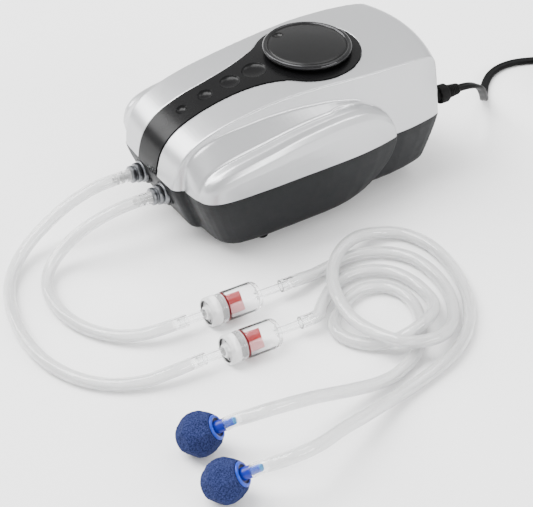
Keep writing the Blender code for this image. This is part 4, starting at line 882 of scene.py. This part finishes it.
def make_valves():
    """Clear check valves: a milky cap with air holes, a dark red flange and a red duckbill."""
    for side, x, inlet_y in VALVES:
        origin = (x, inlet_y, VALVE_Z)
        cap = turned(f"valve_cap_looks_{side}", VALVE_CAP, origin, "Y", 64)
        combine(cap, rod((6.0, 2.4, 9), origin, "Y", 64))
        combine(cap, rod((1.25, -16, 4), origin, "Y"))
        for k in range(CAP_PORTS):
            angle = 2 * math.pi * (k + 0.25) / CAP_PORTS
            centre = (x + PORT_REACH * math.cos(angle), inlet_y, VALVE_Z + PORT_REACH * math.sin(angle))
            combine(cap, rod((PORT_RADIUS, 0.5, 3.0), centre, "Y", 20))
        finish_mesh(cap, MILKY)
        tint(cap, origin, CAP_LOOKS, cap_look)
        show(cap, "pump", "clear_vinyl", f"check_valve_cap_{side}")

        body = turned(f"valve_body_looks_{side}", VALVE_BODY, origin, "Y", 64)
        combine(body, turned("room", VALVE_ROOM, origin, "Y", 64))
        combine(body, rod((1.25, 20, 45), origin, "Y"))
        finish_mesh(body, CLEAR_HARD)
        show(body, "pump", "clear_vinyl", f"check_valve_body_{side}")

        bill = duckbill(f"duckbill_looks_{side}", origin)
        show(bill, "pump", "red_rubber", f"duckbill_{side}")


LIP_WIDE = Vector((-0.65, 0.0, 0.76)).normalized()
LIP_TALL = Vector((0.76, 0.0, 0.65)).normalized()
# duckbill, from its flange to its lip: distance from the cap's front, half-widths along and
# across the lip, and power of the oval
BILL = ((8.35, 6.75, 6.75, 1.0), (9.35, 6.75, 6.75, 1.0), (9.4, 5.0, 5.0, 1.0), (10.2, 4.85, 4.6, 0.9),
        (12.0, 4.8, 3.7, 0.8), (14.5, 4.75, 2.4, 0.65), (17.0, 4.7, 1.2, 0.5), (18.8, 4.7, 0.5, 0.45),
        (19.0, 4.5, 0.35, 0.45))
BILL_LOOKS = (DEEP_RED, PINK, LIGHT_RED, GREY_FACE)
BILL_FLANGE = 9.5              # the flange's far side, with a little room
FACES_FRONT = -0.7             # a normal's share along Y
PALE_SIDE = -0.2               # measured along the lip, from the middle
LIGHT_EDGE = 2.4


def bill_look(out, normal):
    """A grey front, a dark flange, one pale side and one light edge; the rest is red."""
    if normal.y < FACES_FRONT:
        return 4
    if out.y < BILL_FLANGE:
        return 1
    if out.dot(LIP_WIDE) < PALE_SIDE:
        return 2
    if out.dot(LIP_WIDE) > LIGHT_EDGE:
        return 3
    return 0


def duckbill(name, origin):
    """A round flange whose sleeve closes to a flat, wide lip; one half of the lip is coloured paler."""
    x, inlet_y, z = origin
    bill = loft(name, [oval(Vector((x, inlet_y + forward, z)), (LIP_WIDE, wide), (LIP_TALL, tall), power, 48)
                       for forward, wide, tall, power in BILL])
    finish_mesh(bill, RED, 40)
    tint(bill, origin, BILL_LOOKS, bill_look)
    return bill


STONES = (("lower", (183.1, -137.3, 10.0), (0.524, 0.661, 0.537)),
          ("upper", (152.9, -132.5, 10.0), (0.525, 0.664, 0.533)))
STONE_SECTION = (
    (4.9, 8.2), (5.0, 8.35), (6.4, 8.0), (7.6, 7.1), (8.7, 5.9), (9.4, 4.0), (9.75, 1.9),
    (9.9, 0.0), (9.75, -2.0), (9.35, -4.2), (8.3, -6.1), (6.9, -7.6), (5.2, -8.9), (3.2, -9.6),
    (1.5, -9.85))
STONE_RADIUS = 9.9
FACETS = 7                     # flats pressed around each stone's front and back halves
FACET_TILTS = ((0.45, 0.0), (-0.55, 0.5))   # tilt in radians, and shift in facets
FACET_DEPTH = 0.75
SKIN_RADIUS = 9.0              # points nearer the middle than this stay as they are
SKIN_END = 7.9                 # and so do those further than this towards the stem
FINE_GRIT = (2.6, 0.20)        # frequency and height
COARSE_GRIT = (1.1, 0.14)
GRIT_START = Vector((9, 4, 2))
GRIT_SINK = 0.10
STEM = (
    (0, 18.6), (1.1, 18.6), (1.45, 18.4), (1.75, 17.8), (1.75, 13.5), (2.2, 13.45), (2.6, 13.3),
    (2.75, 12.9), (2.75, 9.2), (2.85, 8.9), (3.2, 8.75), (3.7, 8.8), (4.0, 9.0), (4.2, 9.3),
    (4.6, 9.45), (5.0, 9.4), (5.35, 9.2), (5.5, 8.9), (5.45, 8.5), (5.1, 8.3), (4.3, 8.3),
    (4.3, 5.9), (0, 5.9))
STEM_LOOKS = (RECESS_PAINTED_SHADE, TUBE_BLUE, PALE_BLUE, HUB_BLUE)
# where the stem's parts begin, from the stone's middle, and the radii of the hub and its recess
TIP_START, TUBE_START, HUB_START = 16.6, 13.4, 8.0
HUB_REACH, RECESS_REACH = 2.9, 4.15


def roughen(ball, heart, heading):
    """Press flats into the stone and make its skin gritty, but not round its stem."""
    across = heading.cross(UP).normalized()
    flats = []
    for k in range(FACETS):
        for tilt, shift in FACET_TILTS:
            angle = 2 * math.pi * (k + shift) / FACETS
            flat = across * math.cos(angle) + heading.cross(across) * math.sin(angle)
            flats.append((flat * math.cos(tilt) + heading * math.sin(tilt)).normalized())
    for vertex in ball.data.vertices:
        spot = vertex.co / MM
        out = spot - heart
        if out.length > SKIN_RADIUS and out.dot(heading) < SKIN_END:
            for flat in flats:
                over = out.dot(flat) - (STONE_RADIUS - FACET_DEPTH)
                if over > 0:
                    out -= flat * over
            fine = noise.noise(spot * FINE_GRIT[0]) * FINE_GRIT[1]
            coarse = noise.noise(spot * COARSE_GRIT[0] + GRIT_START) * COARSE_GRIT[1]
            vertex.co = (heart + out + out.normalized() * (fine + coarse - GRIT_SINK)) * MM


def make_stones():
    """Round stones of sintered grit, lightly faceted, each on a blue stem with a flange."""
    for side, centre, axis in STONES:
        heart, heading = Vector(centre), Vector(axis).normalized()
        profile = ((0, 5.6), (4.7, 5.6), *through(STONE_SECTION, 5), (0, -STONE_RADIUS))
        ball = turned(f"stone_looks_{side}", profile, centre, axis, 150)
        roughen(ball, heart, heading)
        finish_mesh(ball, STONE, 180)
        show(ball, "pump", "blue_stone", f"air_stone_{side}")

        def stem_look(out, _):
            """From the tip inwards: pale tip, tube, hub, and painted shade in the recess round it."""
            forward = out.dot(heading)
            reach = (out - heading * forward).length
            if forward > TIP_START:
                return 3
            if forward > TUBE_START:
                return 2
            if forward > HUB_START and reach < HUB_REACH:
                return 4
            # painted shade in the groove round the hub
            return int(forward > HUB_START and reach < RECESS_REACH)

        stem = turned(f"stem_looks_{side}", STEM, centre, axis, 64)
        finish_mesh(stem, BLUE)
        tint(stem, centre, STEM_LOOKS, stem_look)
        show(stem, "pump", "blue_plastic", f"air_stone_stem_{side}")


# ---------------------------------------------------------------- hoses
def lengths_of(points):
    total, result = 0.0, [0.0]
    for a, b in zip(points, points[1:]):
        total += (b - a).length
        result.append(total)
    return result


def resample(points, spacing):
    """Points at an even spacing along a smooth curve through the route's own points."""
    fine = [Vector(p) for p in through(points, 16)]
    lengths = lengths_of(fine)
    count = max(2, round(lengths[-1] / spacing))
    result, index = [], 0
    for k in range(count + 1):
        at = lengths[-1] * k / count
        while index < len(fine) - 2 and lengths[index + 1] < at:
            index += 1
        step = lengths[index + 1] - lengths[index]
        t = (at - lengths[index]) / step if step > 0 else 0.0
        result.append(fine[index].lerp(fine[index + 1], min(max(t, 0.0), 1.0)))
    return result


def heading_at(points, i):
    return (points[min(i + 1, len(points) - 1)] - points[max(i - 1, 0)]).normalized()


HOSE_RADII = (3.0, 2.05)       # outside and inside
HOSE_SIDES = 28


def pipe(name, points):
    """A hollow tube along a path, open at both ends, without twist."""
    bm = bmesh.new()
    rings = []
    side = heading_at(points, 0).cross(UP).normalized()
    for i, point in enumerate(points):
        ahead = heading_at(points, i)
        side = (side - ahead * side.dot(ahead)).normalized()
        up = side.cross(ahead)
        for radius in HOSE_RADII:
            angles = [2 * math.pi * k / HOSE_SIDES for k in range(HOSE_SIDES)]
            rings.append([bm.verts.new((point + side * (radius * math.cos(a))
                                        + up * (radius * math.sin(a))) * MM) for a in angles])
    outside, inside = rings[0::2], rings[1::2]
    for a, b in zip(outside, outside[1:]):
        band(bm, a, b)
    for a, b in zip(inside, inside[1:]):
        band(bm, b, a)
    band(bm, inside[0], outside[0])
    band(bm, outside[-1], inside[-1])
    return from_bmesh(name, bm)


# start and end of each hose, over the tails of its fittings, and the pieces that go with it
HOSES = {
    "hose_left_outlet": ((-10.75, -79.8, 26.4), (107.8, -104.9, 7.1), ["valve_cap_looks_left"]),
    "hose_right_outlet": ((10.75, -79.8, 26.4), (80.0, -98.9, 7.1), ["valve_cap_looks_right"]),
    "hose_to_lower_stone": ((80.0, -49.2, 7.1), (190.2, -128.3, 17.3),
                            ["stone_looks_lower", "stem_looks_lower"]),
    "hose_to_upper_stone": ((107.8, -55.4, 7.1), (160.0, -123.5, 17.2),
                            ["stone_looks_upper", "stem_looks_upper"]),
}
STRETCHED = 7.0                # the hose is clearer where it is stretched over a fitting


def make_hoses():
    for name, (start, end, pieces) in HOSES.items():
        path = resample((start, *HOSE_ROUTES[name], end), 1.6)
        hose = pipe(name + "_looks", path)
        finish_mesh(hose, VINYL, 50)
        tint(hose, (0, 0, 0), (CLEAR,),
             lambda out, _: int(min((out - path[0]).length, (out - path[-1]).length) < STRETCHED))
        show(hose, "pump", "clear_vinyl", name)
        length = lengths_of(path)[-1] * MM


# ---------------------------------------------------------------- mains lead
CORD_WIDTH = 4.6
CORD_THICKNESS = 2.6
CORD_ROUTE = (
    (25.0, 80.4, 41.8), (25.0, 87.1, 41.8), (24.7, 93.0, 41.2), (22.8, 99.0, 38.4), (18.4, 106.0, 32.2),
    (12.0, 113.0, 23.4), (4.2, 120.0, 14.2), (-4.8, 127.0, 6.8), (-14.2, 134.0, 2.4),
    (-23.0, 141.4, 1.4), (-29.5, 149.5, 1.4), (-32.9, 158.5, 1.4), (-33.0, 168.0, 1.4),
    (-30.0, 177.5, 1.4), (-26.6, 185.6, 1.4), (-23.2, 193.9, 1.6))
COIL_CENTRE = (11.5, 199.9)
COIL_WIDE = 30.5
COIL_NARROW = 20.9
COIL_LAYERS = (2.05, 4.85, 7.65, 10.45)
COIL_START = 190.0             # degrees, where the lead's own line ends
COIL_ENTRY = (35.2, 1.6)       # radius and height there
COIL_LEAD_IN = 40              # degrees, from the lead's own line to the outer turn
COIL_TURNS = 1.93              # in each layer
COIL_CLIMB = 55                # degrees, from one layer to the next
LEAD_OUT = ((31.6, 224.6, 10.0), (37.8, 219.4, 8.6), (43.6, 214.6, 7.4), (45.4, 213.3, 7.4))
PLUG_START = (43.6, 214.6, 7.4)
PLUG_HEADING = (0.819, -0.574, 0.0)


def coil_points():
    """Flat spirals on top of each other, wound clockwise, in and out by turns."""
    cx, cy = COIL_CENTRE
    angle, points = COIL_START, []

    def add(radius, height):
        points.append((cx + radius * math.cos(math.radians(angle)),
                       cy + radius * math.sin(math.radians(angle)), height))

    steps = 4
    radius, low = COIL_ENTRY
    for k in range(1, steps + 1):
        angle -= COIL_LEAD_IN / steps
        t = k / steps
        add(radius + (COIL_WIDE - radius) * (1 - (1 - t) ** 2), low + (COIL_LAYERS[0] - low) * t)
    per_layer = round(COIL_TURNS * 16)
    for index, height in enumerate(COIL_LAYERS):
        start, end = (COIL_WIDE, COIL_NARROW) if index % 2 == 0 else (COIL_NARROW, COIL_WIDE)
        for k in range(1, per_layer + 1):
            angle -= 360 * COIL_TURNS / per_layer
            add(start + (end - start) * k / per_layer, height)
        if index + 1 < len(COIL_LAYERS):
            climb = 3
            for k in range(1, climb + 1):
                angle -= COIL_CLIMB / climb
                t = k / climb
                add(end, height + (COIL_LAYERS[index + 1] - height) * t * t * (3 - 2 * t))
    return points


LEAD_SIDES = 28
WEB_NARROWING = 0.22           # how much thinner the lead is between its two cores
WEB_WIDTH = 0.55


def lead_section():
    """Two round cores side by side, joined by a web: a shallow figure of eight."""
    core = CORD_THICKNESS / 2
    offset = CORD_WIDTH / 2 - core
    section = []
    for k in range(LEAD_SIDES):
        angle = 2 * math.pi * k / LEAD_SIDES
        c, s = math.cos(angle), math.sin(angle)
        x = offset * max(-1.0, min(1.0, c * 1.6)) + core * c
        section.append((x, core * s * (1 - WEB_NARROWING * math.exp(-(x / WEB_WIDTH) ** 2))))
    return section


def make_lead():
    path = resample((*CORD_ROUTE, *coil_points(), *LEAD_OUT), 2.2)
    section = lead_section()
    bm = bmesh.new()
    rings = []
    for i, point in enumerate(path):
        ahead = heading_at(path, i)
        across = ahead.cross(UP).normalized()
        up = across.cross(ahead)
        rings.append([bm.verts.new((point + across * x + up * z) * MM) for x, z in section])
    for a, b in zip(rings, rings[1:]):
        band(bm, a, b)
    for ring in (rings[0], rings[-1]):
        bm.faces.new(ring)
    lead = from_bmesh("mains_lead_looks", bm)
    finish_mesh(lead, LEAD, 60)
    show(lead, "pump", "black_rubber", "power_cord", "power_cord_coil")
    return lead, path


# plug: distance from the lead's end, half-width, half-height and power of the oval
PLUG = (
    (0, 2.7, 1.9, 1.0), (4, 2.9, 2.1, 1.0), (5, 2.9, 2.1, 1.0), (10, 3.3, 2.6, 1.0),
    (17.5, 4.1, 3.5, 1.0), (18.3, 5.6, 4.2, 0.8), (20, 7.0, 4.7, 0.7), (24, 9.6, 5.6, 0.5),
    (29, 10.6, 6.1, 0.45), (34, 11.1, 6.4, 0.42), (40, 11.4, 6.7, 0.4), (45.6, 11.6, 6.85, 0.4),
    (46.6, 11.4, 6.7, 0.4), (47.2, 10.9, 6.2, 0.4))
PLUG_SLOTS = (6.0, 9.0, 12.0, 15.0)


def make_plug():
    heading = Vector(PLUG_HEADING)
    across = Vector((-heading.y, heading.x, 0))
    start = Vector(PLUG_START)
    body = loft("plug_looks", [oval(start + heading * forward, (across, wide), (UP, tall), power, 64)
                               for forward, wide, tall, power in PLUG])
    turn = Matrix((heading, across, (0, 0, 1))).transposed().to_4x4()
    for forward in PLUG_SLOTS:
        for sign in (-1, 1):
            spot = start + heading * forward + across * (sign * (3.1 + forward * 0.06))
            slot = box((-0.7, -0.9, -8), (0.7, 0.9, 8))
            slot.data.transform(Matrix.Translation(spot * MM) @ turn)
            combine(body, slot)
    finish_mesh(body, RUBBER, 38)
    show(body, "pump", "black_rubber", "plug_body")


TIE_ROOM = 3.2                 # from the middle of the inner or outer turn to the strap
TIE_HALF_WIDTH = 1.8
TIE_THICKNESS = 0.45


def make_tie():
    """A flat strap round one side of the coil."""
    cx, cy = COIL_CENTRE
    low, high = 0.05, COIL_LAYERS[-1] + CORD_THICKNESS / 2 + 0.25
    left, right = cx + COIL_NARROW - TIE_ROOM, cx + COIL_WIDE + TIE_ROOM
    outline = [(left, low + 2), (left + 0.5, low + 0.7), (left + 2, low), (right - 2, low),
               (right - 0.5, low + 0.7), (right, low + 2), (right, high - 2), (right - 0.5, high - 0.7),
               (right - 2, high), (left + 2, high), (left + 0.5, high - 0.7), (left, high - 2)]
    bm = bmesh.new()
    rows = []
    for i, (x, z) in enumerate(outline):
        along = (Vector(outline[(i + 1) % len(outline)]) - Vector(outline[i - 1])).normalized()
        inward = Vector((-along.y, along.x)) * TIE_THICKNESS
        corners = ((x, z, -1), (x, z, 1), (x + inward.x, z + inward.y, 1), (x + inward.x, z + inward.y, -1))
        rows.append([bm.verts.new(Vector((px, cy + edge * TIE_HALF_WIDTH, pz)) * MM)
                     for px, pz, edge in corners])
    for a, b in zip(rows, rows[1:] + rows[:1]):
        band(bm, a, b)
    tie = from_bmesh("cord_tie_looks", bm)
    finish_mesh(tie, RUBBER, 40)
    show(tie, "pump", "steel", "cord_tie")


RIBS_FROM_Y = 86.2
RIBS_TO_Y = 80.9
RIB_PITCH = 1.1
SLEEVE_RADIUS = 2.75           # at its thin end
SLEEVE_GROWTH = 0.11
GLAND_COLLAR = (
    (3.5, 80.5), (3.9, 80.2), (3.95, 79.5), (4.4, 79.3), (4.75, 79.0), (4.8, 78.4), (4.8, 75.2),
    (4.7, 74.8), (4.4, 74.6), (3.2, 74.4), (3.2, 67.4), (3.9, 67.2), (3.9, 62.4), (0, 62.4))


def make_gland():
    """The strain relief: a collar, then a ribbed sleeve that narrows towards the lead."""
    profile = [(0, 86.8), (2.5, 86.8), (SLEEVE_RADIUS, 86.4)]
    y = RIBS_FROM_Y
    while y > RIBS_TO_Y:
        radius = SLEEVE_RADIUS + (RIBS_FROM_Y - y) * SLEEVE_GROWTH
        profile += [(radius, y), (radius + 0.18, y - 0.35), (radius + 0.05, y - 0.75),
                    (radius - 0.3, y - 0.9)]
        y -= RIB_PITCH
    gland = turned("strain_relief_looks", [*profile, *GLAND_COLLAR], (GLAND_X, 0, GLAND_Z), "Y", 56)
    finish_mesh(gland, RUBBER)
    show(gland, "pump", "black_rubber", "strain_relief")


def make_feet():
    names = ("front_right", "front_left", "rear_right", "rear_left")
    for (x, y, underside), name in zip(FEET, names):
        collar, stem = underside - GAP, underside + FOOT_STEM_Z
        dome = [(1.8 + 1.4 * math.sin(math.radians(a)), 2.6 - 2.6 * math.cos(math.radians(a)))
                for a in range(90, -1, -10)]
        profile = [(0, stem), (1.6, stem), (1.6, collar), (3.1, collar), (3.2, collar - 0.2), *dome, (0, 0)]
        foot = turned(f"foot_looks_{name}", profile, (x, y, 0), "Z", 48)
        finish_mesh(foot, RUBBER)
        show(foot, "pump", "black_rubber", f"foot_{name}")


def paint_inside():
    """Give the CAD's own inner pieces their finished materials."""
    finishes = {
        "filter_cover": CHARCOAL, "felt_filter": FELT, "knob_shaft": STEEL, "potentiometer": STEEL,
        "circuit_board": BOARD, "core_laminations": LAMINATED, "coil_bobbin": WHITE,
        "coil_winding": COPPER, "plug_blade_near": STEEL, "plug_blade_far": STEEL}
    for side in ("right", "left"):
        finishes.update({
            f"swing_arm_{side}": STEEL, f"arm_magnet_{side}": MAGNET, f"arm_pivot_{side}": RUBBER,
            f"pump_chamber_{side}": WHITE, f"diaphragm_{side}": RUBBER, f"valve_flap_{side}": RUBBER,
            f"chamber_cover_{side}": WHITE, f"air_tube_{side}": RUBBER,
            f"shell_screw_front_{side}": STEEL, f"shell_screw_rear_{side}": STEEL})
    for node, mat in finishes.items():
        for slot in NODES[node].material_slots:
            slot.material = mat


# ---------------------------------------------------------------- room, light and camera
WORLD_LIGHT = 1.15
LAMPS = (                      # name, place, width, height, power and aim of each soft box
    ("overhead", (-0.6, -0.9, 2.3), 1.8, 1.8, 130.0, (0.05, -0.03, 0.0)),
    ("key", (-1.7, -1.3, 1.3), 1.2, 1.2, 52.0, (0.0, 0.0, 0.04)),
    ("side", (1.45, 0.75, 0.7), 1.3, 0.36, 20.0, (0.03, 0.0, 0.03)),
    ("back", (-0.15, 0.75, 1.6), 0.9, 0.7, 8.0, (0.0, 0.0, 0.05)))
FLOOR_DROP = 0.0002            # metres, so that the floor isn't level with the lowest pieces


def make_room():
    ground = material("pale_ground", (0.93, 0.93, 0.93), (0.95, 0.95, 0.95), 6, 0.9, 0.05)
    bm = bmesh.new()
    bmesh.ops.create_grid(bm, x_segments=4, y_segments=4, size=6.0)
    floor = from_bmesh("floor", bm, shown)
    floor.location.z = -FLOOR_DROP
    floor.data.materials.append(ground)

    world = bpy.data.worlds.new("studio")
    bpy.context.scene.world = world
    world.use_nodes = True
    background = world.node_tree.nodes["Background"]
    background.inputs["Color"].default_value = (1.0, 1.0, 1.0, 1.0)
    background.inputs["Strength"].default_value = WORLD_LIGHT

    for name, place_at, width, height, power, aim in LAMPS:
        light = bpy.data.lights.new(name, "AREA")
        light.shape = "RECTANGLE"
        light.size = width
        light.size_y = height
        light.energy = power
        lamp = place(name, light, shown)
        lamp.location = place_at
        lamp.rotation_euler = (Vector(aim) - Vector(place_at)).to_track_quat("-Z", "Y").to_euler()


def make_camera():
    around, above, distance = math.radians(59.4), math.radians(36.8), 0.9
    target = Vector((0.0791, -0.0562, 0.028))
    offset = Vector((math.sin(around) * math.cos(above), -math.cos(around) * math.cos(above),
                     math.sin(above)))
    camera = place("camera", bpy.data.cameras.new("camera"), shown)
    camera.data.lens = 133.5
    camera.data.sensor_width = 36.0
    camera.data.clip_start = 0.01
    camera.location = target + offset * distance
    camera.rotation_euler = (-offset).to_track_quat("-Z", "Y").to_euler()
    bpy.context.scene.camera = camera


make_room()
make_camera()
make_base()
make_top()
make_knob()
make_outlets()
make_valves()
make_stones()
make_hoses()
make_plug()
make_tie()
make_gland()
LEAD_PIECE, LEAD_PATH = make_lead()
make_feet()
paint_inside()
bpy.data.collections.remove(work)
